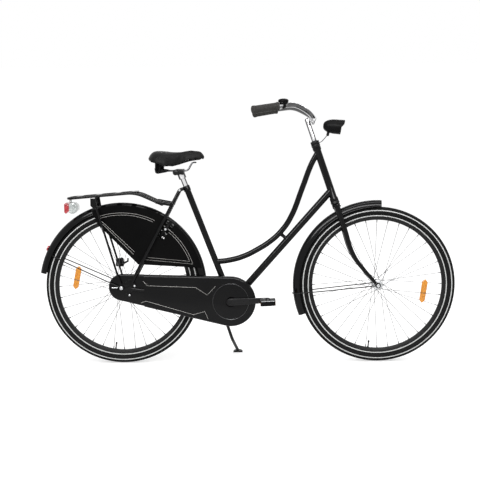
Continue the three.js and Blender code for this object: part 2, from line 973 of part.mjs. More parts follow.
function seatTube() {
  const boreStart = bracket.clone().addScaledVector(seatLine, bracketRadius + seatTubeWall);
  const boreEnd = seatTop.clone().addScaledVector(seatLine, overrun);
  const bore = rod(boreStart, boreEnd, seatTubeRadius - seatTubeWall, tubeSides);
  const boreHalf = bracketHalf + overrun;
  const axleBore = pin(bracket, runningBore(spindleRadius), -boreHalf, boreHalf);
  return fused([seatTubeSolid(0), bracketShell(0), stayLug()]).subtract(bore).subtract(axleBore);
}

function headTube() {
  const inner = steererRadius + 2 * gap;
  const profile = [
    [inner, 0],
    [headTubeRadius, 0],
    [headTubeRadius, headTubeLength],
    [inner, headTubeLength],
  ];
  return turnedUpright(profile, tubeSides);
}

function topTubeCurve() {
  const start = bracket.clone().addScaledVector(seatLine, topTubeSeatRise);
  const end = onHead(0, headTubeLength - topTubeHeadDrop);
  const between = topTubeShares.map(([ahead, up]) =>
    at(THREE.MathUtils.lerp(start.x, end.x, ahead), THREE.MathUtils.lerp(start.z, end.z, up)),
  );
  return new THREE.CatmullRomCurve3([start, ...between, end]);
}

function topTube(curve) {
  return tube(curve, topTubeRadius, topTubeSteps)
    .subtract(seatTubeSolid(gap))
    .subtract(headTubeSolid(gap));
}

function downTube(curve) {
  const start = bracket.clone().add(at(downTubeOffset, 0));
  const end = onHead(0, downTubeHeadRise);
  const axis = new THREE.Line3(start, end);
  const bridgeTop = curve.getPointAt(bridgeShare);
  const bridgeFoot = axis.closestPointToPoint(bridgeTop, true, new THREE.Vector3());
  return rod(start, end, downTubeRadius)
    .add(rod(bridgeFoot, bridgeTop, bridgeRadius))
    .subtract(tube(curve, topTubeRadius + gap, topTubeSteps))
    .subtract(bracketShell(gap))
    .subtract(seatTubeSolid(gap))
    .subtract(headTubeSolid(gap));
}

// Headset, fork and stem, drawn about the steering axis

function ringPiece(innerRadius, outerRadius, bottom, height, sides = tubeSides) {
  const profile = [
    [innerRadius, bottom],
    [outerRadius, bottom],
    [outerRadius, bottom + height],
    [innerRadius, bottom + height],
  ];
  return turnedUpright(profile, sides);
}

function locknut() {
  const foot = headTubeLength + cupHeight + strapThickness + 3 * gap;
  const bore = ringPiece(0, steererRadius + gap, foot - overrun, locknutHeight + overrun * 2);
  return ringPiece(0, cupRadius, foot, locknutHeight, thinSides).subtract(bore);
}

function bladeCurve(side) {
  const crownMiddle = -cupHeight - gap - crownHeight / 2;
  const points = [
    at(0, crownMiddle, side * bladeTopSpread),
    at(0, -bladeStraight / 2, side * bladeTopSpread),
    at(0, -bladeStraight, side * (bladeTopSpread + bladeTipSpread) / 2),
    at(forkRake * bladeBendShare, (-bladeStraight - forkDrop) / 2, side * bladeTipSpread),
    at(forkRake, -forkDrop, side * bladeTipSpread),
  ];
  return new THREE.CatmullRomCurve3(points);
}

// The boss under the crown that carries the front fender
function fenderBoss(top) {
  const axle = at(forkRake, -forkDrop);
  const reach = (fenderRadius + gap) / Math.cos(Math.PI / fenderSides);
  const room = pin(axle, reach, -bladeTopSpread, bladeTopSpread, fenderSides);
  return rod(at(0, top), at(0, top - fenderDepth * 2), fenderBossRadius).subtract(room);
}

function fork() {
  const crownTop = -cupHeight - 2 * gap;
  const crownMiddle = crownTop - crownHeight / 2;
  const steererTop = headTubeLength + steererRise;
  const bodies = [
    ringPiece(0, steererRadius, crownTop - crownHeight / 2, steererTop - crownTop + crownHeight / 2),
    rod(at(0, crownMiddle, -bladeTopSpread), at(0, crownMiddle, bladeTopSpread), crownHeight / 2),
    ringPiece(0, crownRadius, crownTop - crownHeight / 2, crownHeight / 2),
    fenderBoss(crownMiddle),
  ];
  for (const side of [1, -1]) {
    bodies.push(taperedTube(bladeCurve(side), bladeTopRadius, bladeTipRadius, bladeSteps, roundSides));
    const tip = at(forkRake, -forkDrop);
    const half = forkEndThickness / 2;
    bodies.push(pin(tip, forkEndRadius, side * (bladeTipSpread - half), side * (bladeTipSpread + half)));
  }
  const axleHole = pin(at(forkRake, -forkDrop), frontAxleRadius + gap, -wheelBase, wheelBase);
  const sideRoom = bladeTipSpread - forkEndThickness / 2;
  const hubRoom = pin(at(forkRake, -forkDrop), collarRadius + bladeTipRadius * 2, -sideRoom, sideRoom);
  const outerSide = bladeTipSpread + forkEndThickness / 2;
  let body = fused(bodies).subtract(axleHole).subtract(hubRoom);
  for (const side of [1, -1]) {
    const far = side * (outerSide + bladeTipRadius * 2);
    body = body.subtract(pin(at(forkRake, -forkDrop), forkEndRadius, side * outerSide, far));
  }
  const boreFoot = headTubeLength - quillInsertion - quillTravel - overrun;
  const quillBore = ringPiece(0, quillRadius + gap, boreFoot, wheelBase);
  return body.subtract(quillBore);
}

function stem() {
  const foot = headTubeLength - quillInsertion;
  const top = headTubeLength + steererRise + quillRise;
  const clamp = at(clampReach, top - clampDrop);
  const quill = ringPiece(0, quillRadius, foot, top - foot);
  const crownCap = rod(at(0, top - clampDrop), clamp, quillRadius);
  const outer = pin(clamp, clampRadius, -clampHalf, clampHalf, tubeSides);
  const bore = pin(clamp, barRadius + gap, -clampHalf - overrun, clampHalf + overrun, tubeSides);
  return fused([quill, crownCap, outer]).subtract(bore);
}

// One half of the bar, from the edge of the clamp outward
function barHalf(centre, side) {
  const start = new THREE.Vector3(0, clampHalf + overrun, 0);
  const bends = [...barShares, barEndShares].map(([back, out, up]) =>
    new THREE.Vector3(-back * barReachBack, out * barHalfWidth, up * barRise),
  );
  const toSide = new THREE.Vector3(1, side, 1);
  const places = [start, ...bends].map((place) => place.multiply(toSide).add(centre));
  return new THREE.CatmullRomCurve3(places);
}

function barRoute(centre) {
  const left = barHalf(centre, 1).getSpacedPoints(barSteps);
  const right = barHalf(centre, -1).getSpacedPoints(barSteps);
  return new Route([...right.reverse(), ...left]);
}

function grip(centre, side) {
  const half = barHalf(centre, side);
  const inward = half.getTangentAt(1).negate();
  const tip = half.getPointAt(1).addScaledVector(inward, -gripEndWall - gap);
  const rows = [
    [0, gripEndRadius * gripTipShare],
    [gripEndWall, gripEndRadius],
    [gripEndWall * 4, gripRadius],
    [gripLength - gripEndWall, gripRadius],
    [gripLength, gripRadius + gripEndWall / 2],
  ];
  const profile = [[0, 0], ...rows.map(([along, radius]) => [radius, along])];
  profile.push([0, gripLength]);
  const turnTo = new THREE.Quaternion().setFromUnitVectors(new THREE.Vector3(0, 1, 0), inward);
  const bore = routed(barRoute(centre), barRadius + gap, roundSides);
  return transformed(turned(profile, roundSides), tip, turnTo).subtract(bore);
}

// Bell, on a clamp just ahead of the right grip
function bellPlace(centre) {
  const half = barHalf(centre, -1);
  const share = 1 - (gripLength + bellAlong) / half.getLength();
  return { place: half.getPointAt(share), along: half.getTangentAt(share) };
}

function bellBody(centre) {
  const { place, along } = bellPlace(centre);
  const ringStart = place.clone().addScaledVector(along, -bellClampWidth / 2);
  const ringEnd = place.clone().addScaledVector(along, bellClampWidth / 2);
  const clampRing = rod(ringStart, ringEnd, barRadius + gap + bellClampWall);
  const top = barRadius + gap + bellClampWall;
  const profile = [
    [0, 0],
    [bellRadius, top],
    [bellRadius, top + bellBaseHeight],
    ...bellShares.map(([out, up]) => [bellRadius * out, top + bellHeight * up]),
    [0, top + bellHeight],
  ];
  const dome = placed(turnedUpright(profile, tubeSides), place);
  return dome.add(clampRing).subtract(routed(barRoute(centre), barRadius + gap, roundSides));
}

function bellLever(centre) {
  const { place } = bellPlace(centre);
  const start = at(place.x, place.z - barRadius - bellClampWall - gap * 2, place.y);
  const half = bellLeverWidth / 2;
  const shape = outline([
    [-half, 0],
    [half, 0],
    [half, -bellLeverThickness],
    [-half, -bellLeverThickness],
  ]);
  return placed(slab(shape, 0, bellLeverLength), start);
}

// Headlamp

function lampStrap() {
  const bottom = headTubeLength + cupHeight + 2 * gap;
  const ring = ringPiece(steererRadius + gap, strapRingRadius, bottom, strapThickness);
  const pivotHeight = headTubeLength + lampPivotRise;
  const middle = bottom + strapThickness / 2;
  const path = new THREE.CatmullRomCurve3([
    at(strapRingRadius - strapThickness, middle),
    at(lampPivotAhead / 2, middle),
    at(lampPivotAhead - lampPivotRadius * 2, pivotHeight - lampPivotRadius),
    at(lampPivotAhead - lampPivotRadius / 2, pivotHeight - lampPivotRadius / 4),
  ]);
  const half = strapThickness / 2;
  const section = outline([
    [-strapWidth / 2, -half],
    [strapWidth / 2, -half],
    [strapWidth / 2, half],
    [-strapWidth / 2, half],
  ]);
  const options = { steps: thinSides, bevelEnabled: false, extrudePath: path };
  const strap = solid(new THREE.ExtrudeGeometry(section, options));
  const pivot = at(lampPivotAhead, pivotHeight);
  const inner = strapWidth / 4;
  const knuckle = pin(pivot, lampPivotRadius, -inner, inner);
  const right = pin(pivot, lampCheekRoom, -strapWidth, -inner, tubeSides);
  const left = pin(pivot, lampCheekRoom, inner, strapWidth, tubeSides);
  return fused([ring, strap, knuckle])
    .subtract(ringPiece(0, steererRadius + gap, 0, forkDrop))
    .subtract(right)
    .subtract(left);
}

function lampShell() {
  const outer = [
    [0, 0],
    ...lampShares.map(([out, along]) => [lampRadius * out, lampLength * along]),
    [lampRadius, lampLength + lampVisor],
  ];
  const inner = outer
    .slice(1)
    .map(([radius, along]) => [radius - lampWall, along])
    .reverse();
  const cup = turned([...outer, ...inner, [0, lampLength * lampWallShare]], lampSides);
  const shell = placed(cup, at(0, 0), [0, 0, -90]);
  const reach = lampRadius * 2;
  const [foot, rise, front] = visorShares;
  const visorCut = outline([
    [lampLength - lampVisor * foot, -reach],
    [lampLength + lampVisor + reach, -reach],
    [lampLength + lampVisor + reach, lampRadius + lampWall],
    [lampLength + lampVisor, lampRadius + lampWall],
    [lampLength + lampVisor * front, lampRadius * rise],
    [lampLength, 0],
  ]);
  return shell.subtract(slab(visorCut, -reach, reach));
}

// The lamp's own axis points down the road, above and a little behind its pivot
function placedLamp(body) {
  return placed(body, at(-lampSetBack, lampRise), [0, lampTiltAngle, 0]);
}

function lampLens() {
  const radius = lampRadius - lampWall - gap;
  const start = lampLength - lampVisor - lensThickness;
  const [middle, bulge, tip] = lensShares;
  const profile = [
    [0, start],
    [radius, start],
    [radius, start + lensThickness],
    [radius * middle, start + lensThickness * bulge],
    [0, start + lensThickness * tip],
  ];
  return placed(turned(profile, lampSides), at(0, 0), [0, 0, -90]);
}

function lampFoot() {
  const half = strapWidth / 4 + gap;
  const cheeks = [];
  for (const side of [1, -1]) {
    const shape = outline([
      ...arc(at(0, 0), lampPivotRadius, 180, 360, thinSides),
      [lampPivotRadius * 3, lampRise / 3],
      [lampPivotRadius, lampRise / 2],
    ]);
    cheeks.push(slab(shape, side * half, side * (half + strapThickness)));
  }
  return fused(cheeks);
}

// Fenders and their wire stays

function fenderSection(halfWidth, depth, edge) {
  const points = [];
  for (let i = 0; i <= fenderSteps; i += 1) {
    const angle = -90 + (180 * i) / fenderSteps;
    points.push([edge + depth * cosine(angle), halfWidth * sine(angle)]);
  }
  return points;
}

function fender(start, end) {
  const edge = fenderRadius - fenderDepth;
  const outer = fenderSection(fenderHalfWidth, fenderDepth, edge);
  const thin = fenderHalfWidth - fenderWall;
  const inner = fenderSection(thin, fenderDepth - fenderWall, edge).reverse();
  const whole = turned([...outer, ...inner], fenderSides);
  const wedge = slab(sector(fenderRadius * 2, start, end, thinSides), -tyreWidth, tyreWidth);
  return whole.intersect(wedge);
}

// Inside, the wire hooks under the fender's edge; outside, it runs round over the crown
function wireRows(eyeSide, outside) {
  const edge = fenderRadius - fenderDepth;
  const rows = [
    [wireEyeRadius * wireStartShare, eyeSide + wireEyeThickness / 2],
    [stayKinkRadius, stayKinkSpread],
  ];
  const room = wireRadius + 2 * gap;
  const grow = outside ? room : -fenderWall - room - fenderSag;
  if (!outside) rows.push([edge - wireRadius * 3, fenderHalfWidth]);
  for (let i = 0; i <= fenderSteps / 2; i += 1) {
    const angle = 90 - (180 * i) / fenderSteps;
    rows.push([edge + (fenderDepth + grow) * cosine(angle), (fenderHalfWidth + grow) * sine(angle)]);
  }
  return rows;
}

function wireStay(angle, eyeSide, axleRadius, outside) {
  const rows = wireRows(eyeSide, outside);
  const left = rows.map(([radius, side]) => polar(radius, angle, side));
  const right = rows.slice(0, -1).map(([radius, side]) => polar(radius, angle, -side));
  const wire = routed(new Route([...left, ...right.reverse()]), wireRadius, nutSides);
  const bodies = [wire];
  for (const side of [1, -1]) {
    const outer = side * (eyeSide + wireEyeThickness);
    bodies.push(pin(at(0, 0), wireEyeRadius, side * eyeSide, outer));
  }
  const reach = eyeSide * 2;
  const hole = pin(at(0, 0), axleRadius + gap, -reach, reach);
  let body = fused(bodies).subtract(hole);
  for (const side of [1, -1]) {
    const under = slab(circleAt(wireEyeRadius * 2), side * (eyeSide - overrun), side * eyeSide);
    const over = side * (eyeSide + wireEyeThickness);
    body = body.subtract(under).subtract(slab(circleAt(wireEyeRadius * 2), over, over + side * overrun));
  }
  return body;
}

function circleAt(radius) {
  return circle(radius, roundSides);
}

// Coat guards, with a notch round the ring lock

function lockNotch(side) {
  const half = lockWidth;
  const start = lockReach + lockOuterRadius - lockNotchDepth;
  const shape = outline([
    [start, -lockNotchFront],
    [guardRadius + overrun, -lockNotchFront],
    [guardRadius + overrun, half],
    [start, half],
  ]);
  const outer = side * (guardSide + guardThickness + overrun);
  return placed(slab(shape, side * (guardSide - overrun), outer), at(0, 0), [0, -lockAngle, 0]);
}

function coatGuard(side) {
  const shape = outline([
    ...arc(at(0, 0), guardRadius, guardFrontAngle, guardRearAngle, thinSides * 3),
    ...guardCornerShares.map(([ahead, up]) => [guardRadius * ahead, guardRadius * up]),
  ]);
  const body = slab(shape, side * guardSide, side * (guardSide + guardThickness));
  return body.subtract(lockNotch(side));
}

// Ring lock, drawn about its own centre: the mouth faces the axle, down at -90 degrees

function lockArc(radius, sectionRadius, from, to) {
  const ring = new THREE.TorusGeometry(radius, sectionRadius, thinSides, lockSides);
  ring.rotateX(Math.PI / 2);
  const wedge = slab(sector(lockOuterRadius * 2, from, to, thinSides), -lockWidth, lockWidth);
  return solid(ring).intersect(wedge);
}

function lockHousing() {
  const half = lockWidth / 2;
  const ring = turned(
    [
      [lockInnerRadius, -half],
      [lockOuterRadius, -half],
      [lockOuterRadius, half],
      [lockInnerRadius, half],
    ],
    lockSides,
  );
  const mouthHalf = lockMouthAngle / 2;
  const mouth = sector(lockOuterRadius * 2, lockDown - mouthHalf, lockDown + mouthHalf, thinSides);
  const track = new THREE.TorusGeometry(
    shackleTrackRadius,
    shackleRadius + shackleClearance,
    thinSides,
    lockSides,
  );
  track.rotateX(Math.PI / 2);
  const knobEnd = lockDown + shackleKnobAngle;
  const room = THREE.MathUtils.radToDeg((shackleKnobRadius + shackleClearance) / shackleTrackRadius);
  const slot = slab(
    sector(lockOuterRadius * 2, knobEnd - shackleTravelAngle - room, knobEnd + room, thinSides * 2),
    -shackleKnobRadius - shackleClearance,
    shackleKnobRadius + shackleClearance,
  );
  const core = pin(at(0, 0), shackleTrackRadius, -lockWidth, lockWidth, lockSides);
  return ring
    .subtract(slab(mouth, -lockWidth, lockWidth))
    .subtract(solid(track))
    .subtract(slot.subtract(core));
}

function lockShackle() {
  const start = lockDown + lockMouthAngle / 2 + shackleSetBackAngle;
  const bow = lockArc(shackleTrackRadius, shackleRadius, start, start + shackleArcAngle);
  const knobAngle = lockDown + shackleKnobAngle;
  const inner = polar(shackleTrackRadius, knobAngle);
  const outer = polar(lockOuterRadius + shackleKnobLength, knobAngle);
  return bow.add(rod(inner, outer, shackleKnobRadius, thinSides));
}

// Carrier, legs and rear lamp

function railPoints(side) {
  return [
    at(carrierFrontAhead, carrierHeight - carrierFrontDrop, side * carrierFrontSpread),
    at(carrierCrestAhead, carrierHeight + carrierCrestRise, side * carrierHalfWidth),
    at(-carrierBack + carrierTubeRadius, carrierHeight, side * carrierHalfWidth),
  ];
}

function carrier() {
  const left = railPoints(1);
  const right = railPoints(-1).reverse();
  const rails = routed(bentPath([...left, ...right], carrierBend), carrierTubeRadius);
  const bodies = [rails];
  const rear = left[2];
  const crest = left[1];
  const slope = THREE.MathUtils.radToDeg(Math.atan2(crest.z - rear.z, crest.x - rear.x));
  for (const share of carrierBarShares) {
    const place = rear.clone().lerp(crest, share);
    const half = carrierBarWidth / 2;
    const shape = outline([
      [-half, carrierTubeRadius - carrierBarThickness],
      [half, carrierTubeRadius - carrierBarThickness],
      [half, carrierTubeRadius],
      [-half, carrierTubeRadius],
    ]);
    const bar = slab(shape, -carrierHalfWidth, carrierHalfWidth);
    bodies.push(placed(bar, at(place.x, place.z), [0, -slope, 0]));
  }
  let body = fused(bodies);
  for (const side of [1, -1]) {
    const { foot, top } = seatStayEnds(side);
    const share = (left[0].z - foot.z) / (top.z - foot.z);
    const onStay = foot.lerp(top, share);
    onStay.y = side * stayBowSpread;
    const end = at(left[0].x, left[0].z, side * carrierFrontSpread);
    body = body.add(rod(end, onStay, carrierPadRadius)).subtract(seatStay(side, gap));
  }
  return body;
}

function railHeight(back) {
  const rear = at(-carrierBack + carrierTubeRadius, carrierHeight);
  const crest = at(carrierCrestAhead, carrierHeight + carrierCrestRise);
  const share = (-back - rear.x) / (crest.x - rear.x);
  return THREE.MathUtils.lerp(rear.z, crest.z, share);
}

function carrierLeg(side) {
  const inner = side * legSide;
  const outer = side * (legSide + legPlateThickness);
  const middle = side * (legSide + legPlateThickness / 2);
  const plateTop = railHeight(legTopBack + legPlateWidth) - carrierTubeRadius - gap * 2;
  const plateFoot = plateTop - legPlateHeight;
  const half = legPlateWidth / 2;
  const plate = slab(
    outline([
      [-legTopBack - half, plateTop],
      [-legTopBack - half, plateFoot + half],
      [-legTopBack, plateFoot],
      [-legTopBack + half * 1.6, plateFoot],
      [-legTopBack + half, plateTop],
    ]),
    inner,
    outer,
  );
  const top = at(-legTopBack + half, plateFoot + half);
  const axle = at(0, axleHeight);
  const along = top.clone().sub(axle).normalize();
  const flatEnd = axle.clone().addScaledVector(along, legFlatLength);
  const leg = rod(at(flatEnd.x, flatEnd.z, middle), at(top.x, top.z, middle), legRadius);
  const across = at(-along.z, along.x).multiplyScalar(legFlatHalf);
  const farEnd = flatEnd.clone().addScaledVector(along, legFlatHalf);
  const strip = slab(
    outline([
      [axle.x + across.x, axle.z + across.z],
      [axle.x - across.x, axle.z - across.z],
      [farEnd.x - across.x, farEnd.z - across.z],
      [farEnd.x + across.x, farEnd.z + across.z],
    ]),
    inner,
    outer,
  );
  const eye = pin(axle, legEyeRadius, inner, outer);
  const hole = pin(axle, rearAxleRadius + gap, inner - side * overrun, outer + side * overrun);
  return fused([plate, leg, strip, eye]).subtract(hole);
}

function rearLampOutline(front, back) {
  const top = carrierHeight - carrierTubeRadius - rearLampDrop;
  const foot = top - rearLampHeight;
  return outline([
    [-back, foot + rearLampCorner / 2],
    [-back + rearLampCorner / 2, foot],
    [-front - rearLampCorner, foot],
    [-front, foot + rearLampCorner],
    [-front, top - rearLampCorner],
    [-front - rearLampCorner, top],
    [-back + rearLampCorner / 2, top],
    [-back, top - rearLampCorner / 2],
  ]);
}

function rearLampHousing() {
  const front = rearLampBack - rearLampLength;
  const back = rearLampBack - rearLensDepth;
  const box = slab(rearLampOutline(front, back), -rearLampHalfWidth, rearLampHalfWidth);
  const top = carrierHeight - carrierTubeRadius - gap;
  const ahead = -carrierBack + carrierTubeRadius * 2;
  const foot = top - rearLampDrop - rearLampCorner;
  const post = rod(at(ahead, foot), at(ahead, top), rearLampPostRadius);
  const lensRoom = slab(
    rearLampOutline(rearLampBack - rearLensDepth, rearLampBack + overrun),
    -rearLampHalfWidth * 2,
    rearLampHalfWidth * 2,
  );
  return box.add(post.subtract(lensRoom));
}

function rearLampLens() {
  const front = rearLampBack - rearLensDepth + gap;
  return slab(rearLampOutline(front, rearLampBack), -rearLampHalfWidth, rearLampHalfWidth);
}

// Cranks and pedals

function crank(side) {
  const inner = side * crankInner;
  const outer = side * (crankInner + crankThickness);
  const arm = outline([
    ...arc(at(0, 0), crankBossRadius, 180 - crankEndAngle, 180 + crankEndAngle, thinSides),
    ...arc(at(crankLength, 0), crankEyeRadius, -crankEndAngle, crankEndAngle, thinSides),
  ]);
  const pinStart = side * (crankInner + crankThickness / 2);
  const pinEnd = side * (crankInner + crankThickness + pedalOffset + pedalWidth - pedalPlate);
  const bore = pin(at(0, 0), spindleRadius + gap, inner - side * overrun, side * (spindleHalf + gap));
  return slab(arm, inner, outer)
    .add(pin(at(crankLength, 0), pedalPinRadius, pinStart, pinEnd))
    .subtract(bore);
}

function pedal(side) {
  const half = pedalLength / 2;
  const low = pedalHalfHeight - pedalGroove;
  const block = outline([
    [-half, -pedalHalfHeight],
    [-pedalGrooveHalf, -pedalHalfHeight],
    [-pedalGrooveHalf, -low],
    [pedalGrooveHalf, -low],
    [pedalGrooveHalf, -pedalHalfHeight],
    [half, -pedalHalfHeight],
    [half, pedalHalfHeight],
    [pedalGrooveHalf, pedalHalfHeight],
    [pedalGrooveHalf, low],
    [-pedalGrooveHalf, low],
    [-pedalGrooveHalf, pedalHalfHeight],
    [-half, pedalHalfHeight],
  ]);
  const inner = side * (crankInner + crankThickness + pedalOffset);
  const outer = side * (crankInner + crankThickness + pedalOffset + pedalWidth);
  const bore = pin(
    at(0, 0),
    runningBore(pedalPinRadius),
    inner - side * overrun,
    outer - side * (pedalPlate - gap),
  );
  return slab(block, inner, outer).subtract(bore);
}

function disc(radius, fromSide, toSide) {
  return pin(at(0, 0), radius, fromSide, toSide, tubeSides);
}

function chainring() {
  const half = discThickness / 2;
  const bore = pin(at(0, 0), spindleRadius + gap, -chainLine - overrun, -chainLine + overrun);
  const rimRadius = (ringRadius - chainHeight / 2) * arcFlatShare - gap;
  return disc(rimRadius, -chainLine - half, -chainLine + half).subtract(bore);
}

function sprocket() {
  const half = discThickness / 2;
  const rimRadius = (sprocketRadius - chainHeight / 2) * arcFlatShare - gap;
  const bore = pin(at(0, 0), runningBore(rearAxleRadius), -driverOuter - overrun, 0);
  return disc(rimRadius, -chainLine - half, -chainLine + half)
    .add(disc(driverRadius, -rearHubHalf - gap, -driverOuter))
    .subtract(bore);
}

function chain() {
  const half = chainHeight / 2;
  const outer = slab(
    outline(wrap(ringRadius + half, sprocketRadius + half)),
    -chainLine - chainWidth / 2,
    -chainLine + chainWidth / 2,
  );
  const inner = slab(
    outline(wrap(ringRadius - half, sprocketRadius - half)),
    -chainLine - chainWidth,
    -chainLine + chainWidth,
  );
  return outer.subtract(inner);
}

// Chaincase

function caseHalfSpace(from, to) {
  const reach = wheelBase;
  const shape = outline([
    [from, -reach],
    [to, -reach],
    [to, reach],
    [from, reach],
  ]);
  return slab(shape, -reach, reach);
}

function caseShell(outerSide) {
  const outer = slab(outline(wrap(caseFrontRadius, caseRearRadius)), -outerSide, -caseInnerSide);
  const hollow = slab(
    outline(wrap(caseFrontRadius - caseWall, caseRearRadius - caseWall)),
    -outerSide + caseWall,
    -caseInnerSide - caseWall,
  );
  return outer.subtract(hollow);
}

function chaincase() {
  const front = caseHalfSpace(caseSeam, wheelBase);
  const crankHole = pin(bracket, caseCrankHole, -caseOuterSide - overrun, -caseOuterSide + overrun);
  return caseShell(caseOuterSide)
    .intersect(front)
    .subtract(crankHole)
    .subtract(bracketShell(gap))
    .subtract(chainStay(-1, gap));
}

function caseCover() {
  const rear = caseHalfSpace(-wheelBase, caseSeam - gap);
  const centre = at(0, axleHeight);
  const hubHole = pin(centre, coverHubHole, -caseInnerSide - overrun, -caseInnerSide + overrun);
  const axleHole = pin(centre, coverAxleHole, -coverOuterSide - overrun, -coverOuterSide + overrun);
  return caseShell(coverOuterSide)
    .intersect(rear)
    .subtract(hubHole)
    .subtract(axleHole)
    .subtract(chainStay(-1, gap))
    .subtract(seatStay(-1, gap));
}

function brakeArm() {
  const inner = rearHubHalf + gap;
  const outer = inner + brakeArmThickness;
  const axle = at(0, axleHeight);
  const end = at(brakeArmLength, axleHeight - brakeArmDrop);
  const { place: onStay, along } = onChainStay(brakeArmLength);
  const arm = slab(
    outline([
      [axle.x, axle.z + brakeArmHub / 2],
      [axle.x - brakeArmHub / 2, axle.z],
      [axle.x, axle.z - brakeArmHub / 2],
      [end.x, end.z - brakeArmHalf],
      [end.x + brakeArmHalf, end.z],
      [end.x, end.z + brakeArmHalf],
    ]),
    inner,
    outer,
  );
  const from = onStay.clone().addScaledVector(along, -brakeClipWidth / 2);
  const to = onStay.clone().addScaledVector(along, brakeClipWidth / 2);
  const clip = rod(from, to, chainStayRadius + gap + brakeClipWall, roundSides);
  const tab = slab(
    outline([
      [end.x - brakeClipWidth / 2, end.z],
      [end.x + brakeClipWidth / 2, end.z],
      [onStay.x + brakeClipWidth / 2, onStay.z],
      [onStay.x - brakeClipWidth / 2, onStay.z],
    ]),
    inner,
    onStay.y,
  );
  const bore = pin(axle, rearAxleRadius + gap, inner - overrun, outer + overrun);
  return fused([arm, clip, tab]).subtract(bore).subtract(chainStay(1, gap));
}

// Saddle

function saddleRow(share) {
  let i = 1;
  while (i < saddleShares.length - 1 && saddleShares[i][0] < share) i += 1;
  const before = saddleShares[i - 1];
  const after = saddleShares[i];
  const t = THREE.MathUtils.smoothstep(share, before[0], after[0]);
  const straight = (share - before[0]) / (after[0] - before[0]);
  const mix = (t + straight) / 2;
  return before.map((value, k) => THREE.MathUtils.lerp(value, after[k], mix));
}

// One closed section across the saddle, as [y, z] pairs, starting at the left edge
function saddleSection(share, widthShare, recess, thickness) {
  const [, width, top, base] = saddleRow(share);
  const half = width * cushionHalfWidth * widthShare;
  const low = cushionBottom + base * cushionHeight;
  const high = cushionBottom + top * cushionHeight;
  const points = [];
  for (let i = 0; i < cushionSides; i += 1) {
    const angle = (fullTurn * i) / cushionSides;
    const across = Math.sign(cosine(angle)) * Math.abs(cosine(angle)) ** saddleSidePower;
    const lift = Math.abs(sine(angle)) ** saddleTopPower;
    const under = low + recess * (high - low) * lift;
    const over = thickness ? under + thickness : low + (high - low) * lift;
    points.push([half * across, sine(angle) >= 0 ? over : under - (thickness ? gap : 0)]);
  }
  return points;
}

// Skin through sections along X, closed by a fan at each end
function loft(sections, places) {
  const positions = [];
  const index = [];
  const around = sections[0].length;
  sections.forEach((section, i) => {
    section.forEach(([y, z]) => positions.push(places[i], y, z));
  });
  for (let i = 0; i < sections.length - 1; i += 1) {
    for (let k = 0; k < around; k += 1) {
      const a = i * around + k;
      const b = i * around + ((k + 1) % around);
      index.push(a, b, b + around, a, b + around, a + around);
    }
  }
  for (const end of [0, sections.length - 1]) {
    const first = end * around;
    const centre = positions.length / 3;
    const y = sections[end].reduce((sum, place) => sum + place[0], 0) / around;
    const z = sections[end].reduce((sum, place) => sum + place[1], 0) / around;
    positions.push(places[end], y, z);
    for (let k = 0; k < around; k += 1) {
      const a = first + k;
      const b = first + ((k + 1) % around);
      index.push(...(end === 0 ? [b, a, centre] : [a, b, centre]));
    }
  }
  const geometry = new THREE.BufferGeometry();
  geometry.setAttribute('position', new THREE.Float32BufferAttribute(positions, 3));
  geometry.setIndex(index);
  return solid(geometry);
}

function cushion() {
  const sections = [];
  const places = [];
  for (let i = 0; i <= cushionStations; i += 1) {
    const share = (1 - Math.cos((Math.PI * i) / cushionStations)) / 2;
    sections.push(saddleSection(share, 1, saddleRecessShare, 0));
    places.push(cushionBack + cushionLength * share);
  }
  return loft(sections, places);
}

function pan() {
  const sections = [];
  const places = [];
  const stations = cushionStations / 2;
  for (let i = 0; i <= stations; i += 1) {
    const share = panStartShare + (panReachShare * i) / stations;
    const [, width, top, base] = saddleRow(share);
    const half = width * cushionHalfWidth * panWidthShare;
    const low = cushionBottom + base * cushionHeight;
    const under = low + panRecessShare * (top - base) * cushionHeight;
    sections.push([
      [half, under],
      [half, under - panThickness],
      [-half, under - panThickness],
      [-half, under],
    ]);
    places.push(cushionBack + cushionLength * share);
  }
  const bodies = [loft(sections, places)];
  for (const side of [1, -1]) {
    const place = at(cushionBack + bumperAhead, 0, side * bumperSpread);
    const top = cushionBottom + cushionHeight * bumperTopShare;
    const foot = cushionBottom - bumperHeight / 2 + panThickness;
    bodies.push(rod(at(place.x, foot, place.y), at(place.x, top, place.y), bumperRadius));
  }
  return fused(bodies).subtract(cushion()).subtract(routed(railCurve(), railRadius + gap));
}

function railCurve() {
  const level = postTop.z + railClampHeight / 2;
  const nose = cushionBack + cushionLength * railNoseShare;
  const noseHeight = cushionBottom + cushionHeight * railNoseRiseShare;
  const rows = [
    at(cushionBack + bumperAhead, level, bumperSpread),
    at(postTop.x - railClampLength, level, railSpread),
    at(postTop.x + railClampLength, level, railSpread),
    at(nose - railSpread, noseHeight, railSpread / 2),
  ];
  const mirrored = rows.map((place) => place.clone().multiply(new THREE.Vector3(1, -1, 1))).reverse();
  return bentPath([...rows, at(nose, noseHeight), ...mirrored], railSpread / 2);
}

function saddleClamp() {
  const foot = postTop.clone().addScaledVector(seatLine, -saddleClampHeight);
  const sleeve = rod(foot, postTop, saddleClampRadius, tubeSides);
  const level = postTop.z + railClampHeight / 2;
  const half = railClampLength / 2;
  const low = level - railClampHeight / 2 - saddleClampRadius / 2;
  const block = slab(
    outline([
      [postTop.x - half, low],
      [postTop.x + half, low],
      [postTop.x + half, level + railClampHeight / 2],
      [postTop.x - half, level + railClampHeight / 2],
    ]),
    -railClampHalf,
    railClampHalf,
  );
  const post = rod(seatTop, postTop, seatPostRadius() + gap, tubeSides);
  return fused([sleeve, block])
    .subtract(post)
    .subtract(routed(railCurve(), railRadius + gap));
}

function seatPostRadius() {
  return seatTubeRadius - seatTubeWall - gap;
}

